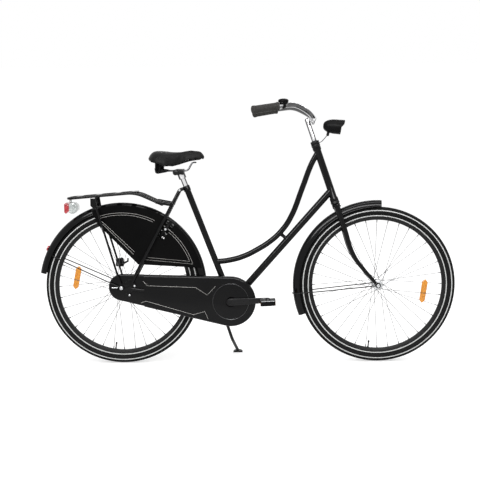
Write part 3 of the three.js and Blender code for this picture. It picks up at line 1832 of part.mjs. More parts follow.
function seatPost() {
  const top = postTop.clone().addScaledVector(seatLine, -gap);
  const foot = top.clone().addScaledVector(seatLine, -postLength);
  return rod(foot, top, seatPostRadius(), tubeSides);
}

// Side stand

function standPivot() {
  const height = onChainStay(standPivotAhead).place.z - standPivotDrop;
  return at(standPivotAhead, height, standPivotOut);
}

function standAxis() {
  const left = Math.sqrt(1 - standAxisAheadShare ** 2 - standAxisUpShare ** 2);
  return at(standAxisAheadShare, standAxisUpShare, left);
}

function standBracket() {
  const pivot = standPivot();
  const axis = standAxis();
  const { place: onStay, along } = onChainStay(standPivotAhead);
  const from = onStay.clone().addScaledVector(along, -standClampLength / 2);
  const to = onStay.clone().addScaledVector(along, standClampLength / 2);
  const sleeve = rod(from, to, chainStayRadius + gap + standClampWall, thinSides);
  const plateOuter = pivot.clone().addScaledVector(axis, -standBossLength / 2 - gap);
  const plateInner = plateOuter.clone().addScaledVector(axis, -standPlateThickness);
  const plate = rod(plateInner, plateOuter, standBossRadius, thinSides);
  const plateMiddle = plateInner.clone().addScaledVector(axis, standPlateThickness / 2);
  const arm = rod(plateMiddle, onStay, standPlateThickness, nutSides);
  const headStart = pivot.clone().addScaledVector(axis, standBossLength / 2 + gap);
  const pinEnd = headStart.clone().addScaledVector(axis, standPlateThickness / 2);
  const post = rod(plateInner, pinEnd, standPinRadius, thinSides);
  const head = rod(headStart, pinEnd, standHeadRadius, thinSides);
  const bossRoom = rod(plateOuter, pinEnd, standBossRadius * 2);
  const fixed = fused([sleeve, plate, arm]).subtract(bossRoom);
  return fused([fixed, post, head]).subtract(chainStay(1, gap));
}

function standLeg() {
  const pivot = standPivot();
  const axis = standAxis();
  const inner = pivot.clone().addScaledVector(axis, -standBossLength / 2);
  const outer = pivot.clone().addScaledVector(axis, standBossLength / 2);
  const boss = rod(inner, outer, standBossRadius, roundSides);
  const footHeight = standFootOut * Math.tan(THREE.MathUtils.degToRad(leanAngle));
  const foot = at(standFootAhead, footHeight + standFootThickness, standFootOut);
  const knee = pivot.clone().lerp(foot, standKneeShare);
  knee.y = pivot.y + standKneeOut;
  const leg = routed(bentPath([pivot, knee, foot], standKneeBend), standLegRadius);
  const half = standFootLength / 2;
  const shoe = slab(
    outline([
      [-half, 0],
      [half, 0],
      [half, standFootThickness],
      [-half, standFootThickness],
    ]),
    -standFootWidth / 2,
    standFootWidth / 2,
  );
  const standing = placed(shoe, at(standFootAhead, footHeight, standFootOut), [leanAngle, 0, 0]);
  const reach = standBossLength + overrun;
  const boreStart = pivot.clone().addScaledVector(axis, -reach);
  const boreEnd = pivot.clone().addScaledVector(axis, reach);
  const cheekOuter = inner.clone().addScaledVector(axis, -standPlateThickness * 3);
  const headOuter = outer.clone().addScaledVector(axis, standPlateThickness * 3);
  return fused([boss, leg, standing])
    .subtract(rod(boreStart, boreEnd, runningBore(standPinRadius, thinSides), thinSides))
    .subtract(rod(cheekOuter, inner, standBossRadius * 2))
    .subtract(rod(outer, headOuter, runningBore(standHeadRadius)));
}

// Building the bike

const frontHub = hubShell(
  frontFlangeRadius,
  frontFlangeSpread,
  frontBarrelRadius,
  frontHubHalf,
  runningBore(frontAxleRadius),
).add(spokes(frontFlangeRadius, frontFlangeSpread));
const rearHub = hubShell(
  rearFlangeRadius,
  rearFlangeSpread,
  rearBarrelRadius,
  rearHubHalf,
  runningBore(rearAxleRadius),
).add(spokes(rearFlangeRadius, rearFlangeSpread));
const frontReflector = reflector(frontReflectorAngle, frontFlangeRadius, frontFlangeSpread);
const rearReflector = reflector(rearReflectorAngle, rearFlangeRadius, rearFlangeSpread);
const frontWheel = wheel('front', frontAxleCentre, frontReflector, frontHub);
const rearWheel = wheel('rear', at(0, axleHeight), rearReflector, rearHub);
piece(frontWheel, 'front_axle', frontAxle(), steel);
piece(rearWheel, 'rear_axle', rearAxle(), steel);
piece(rearWheel, 'sprocket', sprocket(), darkSteel);
piece(frontWheel, 'front_fender', fender(frontFenderStartAngle, frontFenderEndAngle), paint);
const frontStay = wireStay(frontStayAngle, frontWireSide, frontAxleRadius, true);
piece(frontWheel, 'front_fender_stay', frontStay, blackAlloy);

const lockPlace = polar(lockReach, lockAngle);
const lockCorner = (lockOuterRadius + gap) / Math.cos(Math.PI / lockSides);
const lockSpace = pin(at(0, 0), lockCorner, -lockWidth / 2 - gap, lockWidth / 2 + gap, lockSides);
const lockRoom = placed(placed(lockSpace, at(0, 0), [0, 0, 90]), lockPlace, [0, 90 - lockAngle, 0]);
piece(rearWheel, 'rear_fender', fender(rearFenderStartAngle, rearFenderEndAngle).subtract(lockRoom), paint);
const rearStay = wireStay(rearStayAngle, wireSide, rearAxleRadius, false);
piece(rearWheel, 'rear_fender_stay', rearStay, blackAlloy);
piece(rearWheel, 'coat_guard_right', coatGuard(-1), guardVinyl);
piece(rearWheel, 'coat_guard_left', coatGuard(1), guardVinyl);

const lockGroup = group(rearWheel, lockPlace);
lockGroup.rotation.set(0, THREE.MathUtils.degToRad(90 - lockAngle), 0);
const lockTurn = group(lockGroup);
lockTurn.rotation.set(0, 0, Math.PI / 2);
piece(lockTurn, 'ring_lock_housing', lockHousing(), blackPlastic);
piece(lockTurn, 'ring_lock_shackle', lockShackle(), chrome);

const topCurve = topTubeCurve();
piece(bike, 'seat_tube', seatTube(), paint);
piece(bike, 'top_tube', topTube(topCurve), paint);
piece(bike, 'down_tube', downTube(topCurve), paint);
piece(bike, 'stays_right', stays(-1), paint);
piece(bike, 'stays_left', stays(1).add(stayBridge()).subtract(seatStay(-1, gap)), paint);

const head = group(bike, headBottom);
head.rotation.set(0, THREE.MathUtils.degToRad(headAngle - 90), 0);
const cupInner = steererRadius + 2 * gap;
piece(head, 'head_tube', headTube(), paint);
const lowerCup = ringPiece(cupInner, cupRadius, -gap - cupHeight, cupHeight);
const upperCup = ringPiece(cupInner, cupRadius, headTubeLength + gap, cupHeight);
piece(head, 'headset_lower_cup', lowerCup, blackAlloy);
piece(head, 'headset_upper_cup', upperCup, blackAlloy);
piece(head, 'headset_locknut', locknut(), blackAlloy);
piece(head, 'fork', fork(), paint);
piece(head, 'stem', stem(), chrome);
piece(head, 'headlamp_bracket', lampStrap(), blackAlloy);

const clampCentre = onHead(clampReach, headTubeLength + steererRise + quillRise - clampDrop);
piece(bike, 'handlebar', routed(barRoute(clampCentre), barRadius, roundSides), chrome);
piece(bike, 'grip_right', grip(clampCentre, -1), gripRubber);
piece(bike, 'grip_left', grip(clampCentre, 1), gripRubber);
piece(bike, 'bell_body', bellBody(clampCentre), blackPlastic);
piece(bike, 'bell_lever', bellLever(clampCentre), blackPlastic);

const lampGroup = group(bike, onHead(lampPivotAhead, headTubeLength + lampPivotRise));
piece(lampGroup, 'headlamp_shell', placedLamp(lampShell()).add(lampFoot()), blackPlastic);
piece(lampGroup, 'headlamp_lens', placedLamp(lampLens()), clearLens);

piece(bike, 'carrier', carrier(), paint);
piece(bike, 'carrier_leg_right', carrierLeg(-1), paint);
piece(bike, 'carrier_leg_left', carrierLeg(1), paint);
piece(bike, 'rear_lamp_housing', rearLampHousing(), lampBody);
piece(bike, 'rear_lamp_lens', rearLampLens(), redLens);

const cranks = group(bike, bracket);
piece(cranks, 'crank_axle', pin(at(0, 0), spindleRadius, -spindleHalf, spindleHalf), steel);
piece(cranks, 'chainring', chainring(), darkSteel);
for (const side of [-1, 1]) {
  const name = side < 0 ? 'right' : 'left';
  const swing = group(cranks);
  const angle = side < 0 ? crankAngle : crankAngle + 180;
  swing.rotation.set(0, THREE.MathUtils.degToRad(-angle), 0);
  piece(swing, `crank_${name}`, crank(side), blackAlloy);
  piece(group(cranks, polar(crankLength, angle)), `pedal_${name}`, pedal(side), blackPlastic);
}
piece(bike, 'chain', chain(), darkSteel);
piece(bike, 'chaincase', chaincase(), paint);
piece(bike, 'chaincase_rear_cover', caseCover(), paint);
piece(bike, 'brake_arm', brakeArm(), blackAlloy);

piece(bike, 'seat_post', seatPost(), chrome);
piece(bike, 'saddle_clamp', saddleClamp(), blackAlloy);
piece(bike, 'saddle_rails', routed(railCurve(), railRadius, nutSides), darkSteel);
piece(bike, 'saddle_pan', pan(), blackPlastic);
piece(bike, 'saddle_cushion', cushion(), saddleCover);

piece(bike, 'stand_bracket', standBracket(), blackAlloy);
piece(bike, 'stand_leg', standLeg(), blackAlloy);

bike.rotation.set(THREE.MathUtils.degToRad(-leanAngle), 0, 0);

const dutchBike = new THREE.Group();
dutchBike.add(bike);
dutchBike.updateMatrixWorld(true);
const box = new THREE.Box3().setFromObject(dutchBike, true);
const middle = box.getCenter(new THREE.Vector3());
bike.position.set(-middle.x, -middle.y, -box.min.z);

export default dutchBike;
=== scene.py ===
import json
import math

import bpy
from mathutils import Matrix, Vector


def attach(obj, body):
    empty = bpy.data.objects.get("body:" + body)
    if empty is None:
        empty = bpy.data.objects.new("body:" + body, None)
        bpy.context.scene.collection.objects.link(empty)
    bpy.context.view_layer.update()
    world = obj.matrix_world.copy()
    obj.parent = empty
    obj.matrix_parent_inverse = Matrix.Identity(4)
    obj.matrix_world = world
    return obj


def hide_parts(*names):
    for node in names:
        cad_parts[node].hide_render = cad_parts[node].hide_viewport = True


# A black Dutch city bike on its side stand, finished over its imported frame.
# Lengths are in metres. A piece is drawn in the bike's own upright frame, with the
# rear axle's foot at the origin, and is then leaned over with the bike.

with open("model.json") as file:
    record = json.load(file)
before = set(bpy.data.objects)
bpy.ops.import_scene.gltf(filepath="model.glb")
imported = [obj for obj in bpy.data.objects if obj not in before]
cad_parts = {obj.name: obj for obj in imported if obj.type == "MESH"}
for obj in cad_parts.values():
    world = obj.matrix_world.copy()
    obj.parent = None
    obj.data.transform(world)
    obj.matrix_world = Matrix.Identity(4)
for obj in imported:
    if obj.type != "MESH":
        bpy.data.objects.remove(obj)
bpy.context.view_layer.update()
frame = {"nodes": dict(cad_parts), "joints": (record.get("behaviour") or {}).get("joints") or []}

# Wheels
TYRE_RADIUS = 0.3575
TYRE_WIDTH = 0.040
# Places round its section in degrees from the crown, as far as the bead
TYRE_ANGLES = (12, 16, 20, 36, 40, 44, 58, 74, 86, 105, 120, 138)
TYRE_GROOVES = (16, 40)
GROOVE_DEPTH = 0.0014
STRIPE_ANGLES = (73.8, 86.2)
BEAD_RADIUS = 0.3135
RIM_EDGE = 0.321
RIM_INNER = 0.297
RIM_WIDTH = 0.029
RIM_BED = 0.015
# Pale rings on the rims' polished edges, with their highlight painted in
EDGE_HIGHLIGHT_RING = (RIM_EDGE - 0.0062, RIM_EDGE - 0.0018)
WHEEL_STEPS = 128
SPOKES_PER_SIDE = 18
SPOKE_CROSS = 60
SPOKE_RADIUS = 0.001
SPOKE_INSET = 0.004
SPOKE_TIP_SPREAD = 0.002
NIPPLE_REACH = 0.012
NIPPLE_ROWS = ((0, 0), (0.0014, 0), (0.0021, 0.004), (0.0021, 0.013), (0, 0.013))
VALVE_ANGLE = 262
VALVE_ROWS = (
    (0, 0), (0.004, 0), (0.004, 0.004), (0.0028, 0.006), (0.0028, 0.022), (0.0038, 0.023),
    (0.0038, 0.031), (0.003, 0.032), (0, 0.032),
)
# A hub's flange radius, flange spread, barrel radius and half width
FRONT_HUB = (0.023, 0.032, 0.014, 0.044)
REAR_HUB = (0.031, 0.027, 0.023, 0.036)
AXLE_BORE = 0.0054

# Frame
LEAN = 5
SEAT_TUBE_LENGTH = 0.566
SEAT_TUBE_RADIUS = 0.0143
COLLAR_HEIGHT = 0.026
LUG_RADIUS = 0.008
HEAD_TUBE_LENGTH = 0.258
HEAD_TUBE_RADIUS = 0.0165
TOP_TUBE_RADIUS = 0.013
TOP_TUBE_SEAT_RISE = 0.190
TOP_TUBE_HEAD_DROP = 0.022
# Its curve, as shares of its reach forward and of its rise
TOP_TUBE_SHARES = (
    (0.12, 0.012), (0.265, 0.047), (0.42, 0.118), (0.536, 0.188),
    (0.636, 0.274), (0.7225, 0.386), (0.852, 0.684), (0.934, 0.884),
)
DOWN_TUBE_RADIUS = 0.0159
DOWN_TUBE_OFFSET = 0.0127
DOWN_TUBE_HEAD_RISE = 0.0495
BRACKET_RADIUS = 0.020
BRACKET_HALF = 0.034
BRIDGE_SHARE = 0.445
BRIDGE_RADIUS = 0.008
BRIDGE_ROWS = ((1.7, 0), (1.15, 0.22), (1, 0.5), (1.15, 0.78), (1.6, 1))
STAY_RADIUS = 0.008
CHAIN_STAY_SPREAD = 0.026
STAY_FOOT = (0.046, 0.022)
STAY_EAR = 0.0085
STAY_TOP = (0.027, 0.018)
STAY_TOP_SPREAD = 0.022
STAY_BOW_SPREAD = 0.042
STAY_BOW_SHARE = 0.7
DROPOUT_SPREAD = 0.0585
DROPOUT_THICKNESS = 0.005
DROPOUT_REACH = (-0.030, 0.062)
DROPOUT_HALF = 0.017

# Fork and stem
FORK_RAKE = 0.0613
FORK_DROP = 0.428
FORK_EYE_RADIUS = 0.013
CROWN_HEIGHT = 0.022
BLADE_TOP_RADIUS = 0.0135
BLADE_TIP_RADIUS = 0.008
BLADE_TOP_SPREAD = 0.043
BLADE_TIP_SPREAD = 0.054
BLADE_STRAIGHT = FORK_DROP * 0.612
CUP_HEIGHT = 0.014
CUP_RADIUS = 0.021
CUP_BORE = 0.0135
STEERER_RADIUS = 0.0127
STEERER_RISE = 0.032
QUILL_RADIUS = 0.0111
QUILL_ROOM = QUILL_RADIUS + 0.0022
QUILL_DEPTH = 0.02
QUILL_RISE = 0.106
STEM_TOP = HEAD_TUBE_LENGTH + STEERER_RISE + QUILL_RISE
CLAMP_REACH = 0.024
CLAMP_DROP = 0.009
CLAMP_RADIUS = 0.017
CLAMP_HALF = 0.020

# Handlebar
BAR_RADIUS = 0.0111
BAR_HALF_WIDTH = 0.290
BAR_REACH_BACK = 0.266
BAR_RISE = 0.056
# From the stem outward, as shares of its reach back, half width and rise
BAR_SHARES = (
    (-0.01, 0.14, 0.02), (0.02, 0.3, 0.2), (0.13, 0.48, 0.6),
    (0.3, 0.66, 0.96), (0.46, 0.8, 0.98), (1, 1, 0.6),
)
GRIP_RADIUS = 0.0165
GRIP_END_RADIUS = 0.0185
GRIP_LENGTH = 0.124
RIB_PITCH = 0.0052

# Fenders and stays
FENDER_RADIUS = TYRE_RADIUS + 0.0305
FENDER_DEPTH = 0.030
FENDER_EDGE = FENDER_RADIUS - FENDER_DEPTH
FENDER_HALF_WIDTH = 0.027
FENDER_WALL = 0.0016
FENDER_STEP = 2.8
FRONT_FENDER_ARC = (87, 201.5)
REAR_FENDER_ARC = (-20, 170)
BEAD_ROLL = 0.0017
TAIL_REFLECTOR_ANGLE = 152.5
TAIL_REFLECTOR_ROWS = ((0, 0), (0.013, 0), (0.0125, 0.004), (0.009, 0.007), (0, 0.008))
WIRE_RADIUS = 0.0025
STAY_KINK = 0.280
EYE_ROWS = (
    (0.0055, 0), (0.0085, 0), (0.009, 0.0006), (0.009, 0.0024), (0.0085, 0.003), (0.0055, 0.003),
)

# Chaincase
CASE_FRONT_RADIUS = 0.115
CASE_REAR_RADIUS = 0.062
CASE_HOLE_RADIUS = 0.024
CASE_OUTER_SIDE = 0.066
CASE_INNER_SIDE = 0.031
COVER_OUTER_SIDE = 0.0493
CASE_SEAM = 0.103
CASE_ROUND = 0.011
CASE_RING_RADIUS = 0.082
CASE_BOLTS = ((0.060, 0.366), (0.036, 0.324))
# Painted lines, as [ahead, up] places
LINE_RADIUS = 0.0009
CASE_LINES = (
    ((0.1, 0.388), (0.119, 0.367), (0.34, 0.357), (0.392, 0.322), (0.43, 0.362)),
    ((0.088, 0.288), (0.112, 0.296), (0.327, 0.232), (0.38, 0.246), (0.394, 0.212)),
)

# Coat guards
GUARD_RADIUS = FENDER_RADIUS - 0.011
GUARD_SIDE = 0.0273
GUARD_THICKNESS = 0.0016
GUARD_ARC = (13, 111)
GUARD_CORNERS = ((-0.286, 0.769), (0.196, 0.276))
# Its double line: radius, arc behind the stay, arc ahead of it, then places about the axle
GUARD_LINES = (
    (0.342, (108, 63.3), (50, 17.6), (0.111, 0.125), ((-0.0957, 0.3012), (0.0539, 0.1505))),
    (0.332, (106.5, 64), (49, 20.4), (0.120, 0.1355), ((-0.098, 0.3126), (0.0585, 0.1618))),
)

# Ring lock
LOCK_REACH = 0.330
LOCK_ANGLE = 52.5
LOCK_INNER = 0.031
LOCK_OUTER = 0.050
LOCK_TRACK = 0.0405
LOCK_WIDTH = 0.016
LOCK_GAP = 0.0003
LOCK_MOUTH = 70
LOCK_KNOB = 40
LOCK_SWEEP = 92
LOCK_BARREL_UP = 0.006
LOCK_NOTCH = (0.285, -0.020, 0.016)
BOW_RADIUS = 0.004
BOW_ARC = 150

# Headlamp: its pivot is [ahead, up] on the head line
LAMP_PIVOT = (0.067, 0.295)
LAMP_TILT = 24
LAMP_RISE = 0.046
LAMP_LENGTH = 0.082
LAMP_RADIUS = 0.033
LAMP_VISOR = 0.015
LAMP_WALL = 0.0025
KNUCKLE_RADIUS = 0.0065
KNUCKLE_HALF = 0.0045
# Its bowl, as shares of its radius and length
LAMP_SHARES = (
    (0.0, 0.0), (0.2, 0.006), (0.34, 0.02), (0.5, 0.055), (0.64, 0.115), (0.78, 0.21),
    (0.88, 0.32), (0.95, 0.45), (0.985, 0.57), (1, 0.68),
)
# Its lens: share of its radius, height
LENS_ROWS = ((0, 0), (1, 0), (1, 0.005), (0.9, 0.0064), (0.6, 0.0078), (0.3, 0.0084), (0, 0.0086))

# Bell, below its top
BELL_CLAMP_DROP = 0.0145
BELL_ROWS = (
    (0, -0.0155), (0.019, -0.0155), (0.0215, -0.0145), (0.0228, -0.0115), (0.0228, -0.0105),
    (0.0222, -0.0102), (0.0222, -0.0096), (0.0230, -0.0092), (0.0226, -0.0075), (0.0205, -0.0048),
    (0.0165, -0.0024), (0.011, -0.0009), (0.005, -0.0001), (0, 0),
)

# Carrier, its legs, and the block with a hook on the left leg
CARRIER_HEIGHT = 0.768
CARRIER_BACK = 0.241
CARRIER_CREST = 0.072
CARRIER_FRONT = 0.192
CARRIER_HALF = 0.062
CARRIER_FRONT_HALF = 0.050
CARRIER_INNER_HALF = 0.021
CARRIER_BARS = (0.16, 0.44, 0.72, 0.97)
RAIL_RADIUS = 0.006
INNER_ROD_RADIUS = 0.0036
LEG_BACK = 0.122
LEG_SIDE = 0.0613
LEG_RADIUS = 0.005
LEG_THICKNESS = 0.004
LEG_PLATE = (0.012, 0.7227, 0.7687)
LEG_BOLTS = ((-LEG_BACK - 0.004, 0.759), (-LEG_BACK - 0.002, 0.736))
PEG_BLOCK = (
    (-0.042, 0.446), (-0.036, 0.442), (-0.008, 0.442), (-0.002, 0.448), (-0.004, 0.478),
    (-0.010, 0.484), (-0.040, 0.480),
)
PEG_HOOK = (
    (-0.006, 0.462), (0.012, 0.470), (0.012, 0.482), (0.019, 0.482), (0.019, 0.464),
    (-0.004, 0.452),
)

# Cranks
CRANK_ANGLE = 2.5
CRANK_INNER = 0.0685
CRANK_LENGTH = 0.17
CRANK_THICKNESS = 0.013
CRANK_WIDE = 0.017
CRANK_NARROW = 0.012
# Cap: radius, place out from the crank's face
CAP_ROWS = (
    (0, -0.002), (0.0158, -0.002), (0.0158, -0.0002), (0.0145, 0.0008), (0.0095, 0.0008),
    (0.0088, -0.001), (0.0035, -0.001), (0.003, -0.0018), (0, -0.0018),
)
SPINDLE_RADIUS = 0.0045

# Pedals: outlines are [ahead, up] of the spindle
PEDAL_WIDTH = 0.088
PEDAL_BORE = 0.005
SHEET = 0.003
PEDAL_SHEET = (
    (-0.031, -0.0095), (-0.012, -0.0115), (0.012, -0.0115), (0.031, -0.0095), (0.034, 0),
    (0.031, 0.0095), (0.012, 0.0115), (-0.012, 0.0115), (-0.031, 0.0095), (-0.034, 0),
)
TREAD_START = 0.0092
TREAD_END = 0.0338
TREAD_PITCH = 0.0036
TREAD_RIB = ((0, 0.0118), (0.0022, 0.0118), (0.0026, 0.0100), (0.0034, 0.0100))
PEDAL_TRIM = (0.0096, 0.0116, 0.03)
PEDAL_REFLECTOR = (0.0334, 0.0344, 0.0072, 0.028)

# Stand
STAND_LEAD = 0.078
STAND_OUT = 0.158
STAND_KNEE = 0.69
STAND_RADIUS = 0.0072
STAND_BOSS_HALF = 0.009
STAND_BORE = 0.0058
STAND_SHOE = (
    (-0.023, 0), (0.023, 0), (0.021, 0.005), (0.012, 0.009), (-0.012, 0.009), (-0.021, 0.005),
)

# Saddle and seat post
POST_RADIUS = 0.0125
POST_LENGTH = 0.23
POST_RISE = 0.066
SADDLE_LENGTH = 0.260
SADDLE_HALF = 0.102
SADDLE_HEIGHT = 0.091
SADDLE_SHIFT = Vector((-0.1475, 0, 0.0126))
SADDLE_KNOB = Vector((0.2535, 0, 0.8815))
SADDLE_WEDGE = (
    (0.1590, 0.902), (0.2130, 0.894), (0.2270, 0.8880), (0.2120, 0.8830), (0.1740, 0.8765),
    (0.1640, 0.8800),
)
SLEEVE_ROWS = (
    (0.0178, 0), (0.0182, 0.0008), (0.0182, 0.0272), (0.0178, 0.028), (0.0172, 0.028), (0.0172, 0),
)
CUSHION_CAP = 0.0025
SEAM_LEVEL = 0.013
SEAM_RADIUS = 0.0014
SEAM_STATIONS = (0.02, 0.06, 0.12, 0.2, 0.3, 0.4, 0.5, 0.6, 0.7, 0.8, 0.9, 0.97)
PAN_RISE = 0.0045
# Its edge from back to nose, as shares of its size: place, half width, underside
SADDLE_ROWS = (
    (0, 0.36, 0.44), (0.04, 0.7, 0.36), (0.1, 0.9, 0.28), (0.2, 1, 0.16), (0.32, 0.95, 0.05),
    (0.45, 0.72, 0.02), (0.57, 0.46, 0.14), (0.7, 0.3, 0.3), (0.84, 0.25, 0.36),
    (0.94, 0.21, 0.42), (1, 0.12, 0.48),
)

# Camera: place, then yaw, pitch and roll in degrees. Lights: name, place, size, power
EYE = Vector((0.0746, -4.7414, 1.4185))
EYE_TURN = (-1.2876, 10.3116, -0.7522)
EYE_LENS = 77.64
LIGHTS = (
    ("front_strip", (-0.4, -2.6, 2.3), (3.4, 0.14), 26),
    ("top_strip", (0.2, -0.5, 3.2), (3.4, 0.2), 30),
    ("rear_strip", (0.8, 3.0, 2.2), (3.0, 0.16), 14),
    ("gloss_box", (-0.3, -2.4, 2.6), (3.8, 0.9), 130),
)

PIPE_SIDES = 4
FORWARD = Vector((1, 0, 0))
ACROSS = Vector((0, 1, 0))


# The bike's own frame, from its joints

def joint(name):
    return next(j for j in frame["joints"] if j["name"] == name)


def joint_place(name):
    return Vector(joint(name)["pos_m"])


def joint_axis(name):
    return Vector(joint(name)["axis"]).normalized()


LEFT = joint_axis("rear_wheel_spin")
UP = FORWARD.cross(LEFT)
FOOT = joint_place("rear_wheel_spin") - UP * TYRE_RADIUS
BIKE = Matrix.Translation(FOOT) @ Matrix((FORWARD, LEFT, UP)).transposed().to_4x4()
TO_BIKE = BIKE.inverted()
REAR_AXLE = TO_BIKE @ joint_place("rear_wheel_spin")
FRONT_AXLE = TO_BIKE @ joint_place("front_wheel_spin")
BRACKET = TO_BIKE @ joint_place("crank_spin")
HEAD_FOOT = TO_BIKE @ joint_place("steer")
HEAD_LINE = TO_BIKE.to_3x3() @ joint_axis("steer")
HEAD_AHEAD = Vector((HEAD_LINE.z, 0, -HEAD_LINE.x))
SEAT_LINE = TO_BIKE.to_3x3() @ joint_axis("seat_height")
SEAT_TOP = BRACKET + SEAT_LINE * SEAT_TUBE_LENGTH
POST_TOP = SEAT_TOP + SEAT_LINE * POST_RISE
SADDLE_BACK = POST_TOP + SADDLE_SHIFT


def on_head(ahead, up, left=0):
    return HEAD_FOOT + HEAD_AHEAD * ahead + HEAD_LINE * up + Vector((0, left, 0))


def span(node):
    """The low and high corner of a node in the bike's own frame."""
    places = [TO_BIKE @ corner.co for corner in frame["nodes"][node].data.vertices]
    low = Vector(min(place[i] for place in places) for i in range(3))
    high = Vector(max(place[i] for place in places) for i in range(3))
    return low, high


def polar(centre, radius, degrees, side=0):
    angle = math.radians(degrees)
    return centre + Vector((radius * math.cos(angle), side, radius * math.sin(angle)))


def arc_run(centre, radius, start, end, steps=24):
    """[ahead, up] places along an arc."""
    places = [polar(centre, radius, start + (end - start) * i / steps) for i in range(steps + 1)]
    return [(place.x, place.z) for place in places]


def turn_to(line, across, above):
    """The turn that brings x, y and z onto three directions."""
    return Matrix((line, across, above)).transposed().to_4x4()


# Modelling steps

def pick(*objs):
    if bpy.context.object and bpy.context.object.mode != "OBJECT":
        bpy.ops.object.mode_set(mode="OBJECT")
    bpy.ops.object.select_all(action="DESELECT")
    for obj in objs:
        obj.select_set(True)
    if objs:
        bpy.context.view_layer.objects.active = objs[0]


def edit(obj):
    pick(obj)
    bpy.ops.object.mode_set(mode="EDIT")
    bpy.ops.mesh.select_all(action="SELECT")


def leave():
    bpy.ops.object.mode_set(mode="OBJECT")


def cleaned(obj, distance=1e-5):
    edit(obj)
    bpy.ops.mesh.remove_doubles(threshold=distance)
    bpy.ops.mesh.normals_make_consistent(inside=False)
    leave()
    return obj


def modified(obj, kind, **settings):
    """A modifier, added with its settings and applied."""
    pick(obj)
    modifier = obj.modifiers.new(kind.lower(), kind)
    for key, value in settings.items():
        setattr(modifier, key, value)
    bpy.ops.object.modifier_apply(modifier=modifier.name)
    return obj


def bevelled(obj, width, segments=2):
    return modified(
        obj, "BEVEL", width=width, segments=segments, limit_method="ANGLE",
        angle_limit=math.radians(35), use_clamp_overlap=True,
    )


def drawn(points):
    """A line through the points, drawn by extruding one corner from place to place."""
    pick()
    bpy.ops.mesh.primitive_plane_add(size=0.01)
    obj = bpy.context.object
    edit(obj)
    bpy.ops.mesh.select_mode(type="VERT")
    bpy.ops.mesh.merge(type="CENTER")
    bpy.ops.transform.translate(value=points[0])
    for before, after in zip(points, points[1:]):
        bpy.ops.mesh.extrude_vertices_move(TRANSFORM_OT_translate={"value": after - before})
    leave()
    return obj


def lathe(centre, rows, steps=48, arc=(0, 360), ring=False):
    """Rows of [radius, side] spun about the left-right line through a place. A ring's rows
    lead back to the first."""
    start, end = arc
    if ring:
        rows = rows + rows[:1]
    obj = drawn([polar(Vector(), radius, start, side) for radius, side in rows])
    edit(obj)
    bpy.ops.mesh.spin(
        steps=steps, angle=math.radians(end - start), center=(0, 0, 0), axis=(0, 1, 0),
    )
    leave()
    obj.data.transform(Matrix.Translation(centre))
    return cleaned(obj)


def turn_onto(start, line):
    """The turn that brings one direction onto another."""
    return start.rotation_difference(line.normalized()).to_matrix().to_4x4()


def turned(foot, line, rows, steps=48, ring=False):
    """Rows of [radius, height] spun about a line that leaves a foot."""
    obj = lathe(Vector(), rows, steps, ring=ring)
    return placed(obj, Matrix.Translation(foot) @ turn_onto(Vector((0, 1, 0)), line))


def both_sides(rows):
    """Rows of [radius, side], then the same rows on the other side."""
    return rows + [(radius, -side) for radius, side in reversed(rows)]


def rod(start, end, radius, rounding=0.0):
    line = end - start
    length = line.length
    inset = min(rounding, radius * 0.6)
    rows = [(0, 0), (radius - inset, 0), (radius, inset), (radius, length - inset)]
    rows += [(radius - inset, length), (0, length)]
    return turned(start, line, rows, steps=24)


def pin(place, radius, from_side, to_side, rounding=0.0):
    start = Vector((place.x, min(from_side, to_side), place.z))
    end = Vector((place.x, max(from_side, to_side), place.z))
    return rod(start, end, radius, rounding)


def piped(points, radius, radii=None, closed=False, smooth=True, detail=PIPE_SIDES):
    """A round tube along a curve, made a mesh."""
    pick()
    bpy.ops.curve.primitive_bezier_curve_add()
    obj = bpy.context.object
    curve = obj.data
    curve.splines.clear()
    spline = curve.splines.new("BEZIER")
    spline.bezier_points.add(len(points) - 1)
    for i, (corner, place) in enumerate(zip(spline.bezier_points, points)):
        corner.co = place
        corner.handle_left_type = "AUTO" if smooth else "VECTOR"
        corner.handle_right_type = corner.handle_left_type
        corner.radius = radii[i] / radius if radii else 1
    spline.use_cyclic_u = closed
    spline.resolution_u = 6 if smooth else 1
    curve.dimensions = "3D"
    curve.bevel_depth = radius
    curve.bevel_resolution = detail
    curve.use_fill_caps = not closed
    bpy.ops.object.convert(target="MESH")
    return cleaned(bpy.context.object, 1e-6)


def bent(points, bend, steps=5):
    """Straight runs joined by round bends of about the given size."""
    places = [points[0]]
    for last, corner, following in zip(points, points[1:], points[2:]):
        before, after = corner - last, following - corner
        reach = min(bend, before.length / 2, after.length / 2)
        enter = corner - before.normalized() * reach
        leave_at = corner + after.normalized() * reach
        for k in range(steps + 1):
            t = k / steps
            places.append(enter.lerp(corner, t).lerp(corner.lerp(leave_at, t), t))
    return places + [points[-1]]


def plate(outline, from_side, to_side, rounding=0.0, segments=2):
    """An outline of [ahead, up] places, as thick as the span from side to side."""
    low = min(from_side, to_side)
    high = max(from_side, to_side)
    obj = drawn([Vector((x, low, z)) for x, z in outline])
    edit(obj)
    bpy.ops.mesh.edge_face_add()
    bpy.ops.mesh.select_all(action="SELECT")
    bpy.ops.mesh.extrude_region_move(TRANSFORM_OT_translate={"value": (0, high - low, 0)})
    leave()
    cleaned(obj)
    if rounding:
        bevelled(obj, rounding, segments)
    return obj


def joined(objs):
    pick(*objs)
    if len(objs) > 1:
        bpy.ops.object.join()
    return bpy.context.object


def placed(obj, matrix):
    obj.data.transform(matrix)
    return obj


def copied(obj, matrix):
    twin = obj.copy()
    twin.data = obj.data.copy()
    bpy.context.scene.collection.objects.link(twin)
    return placed(twin, matrix)


def cut(obj, tool):
    modified(obj, "BOOLEAN", object=tool, operation="DIFFERENCE", solver="EXACT")
    bpy.data.objects.remove(tool)
    return obj


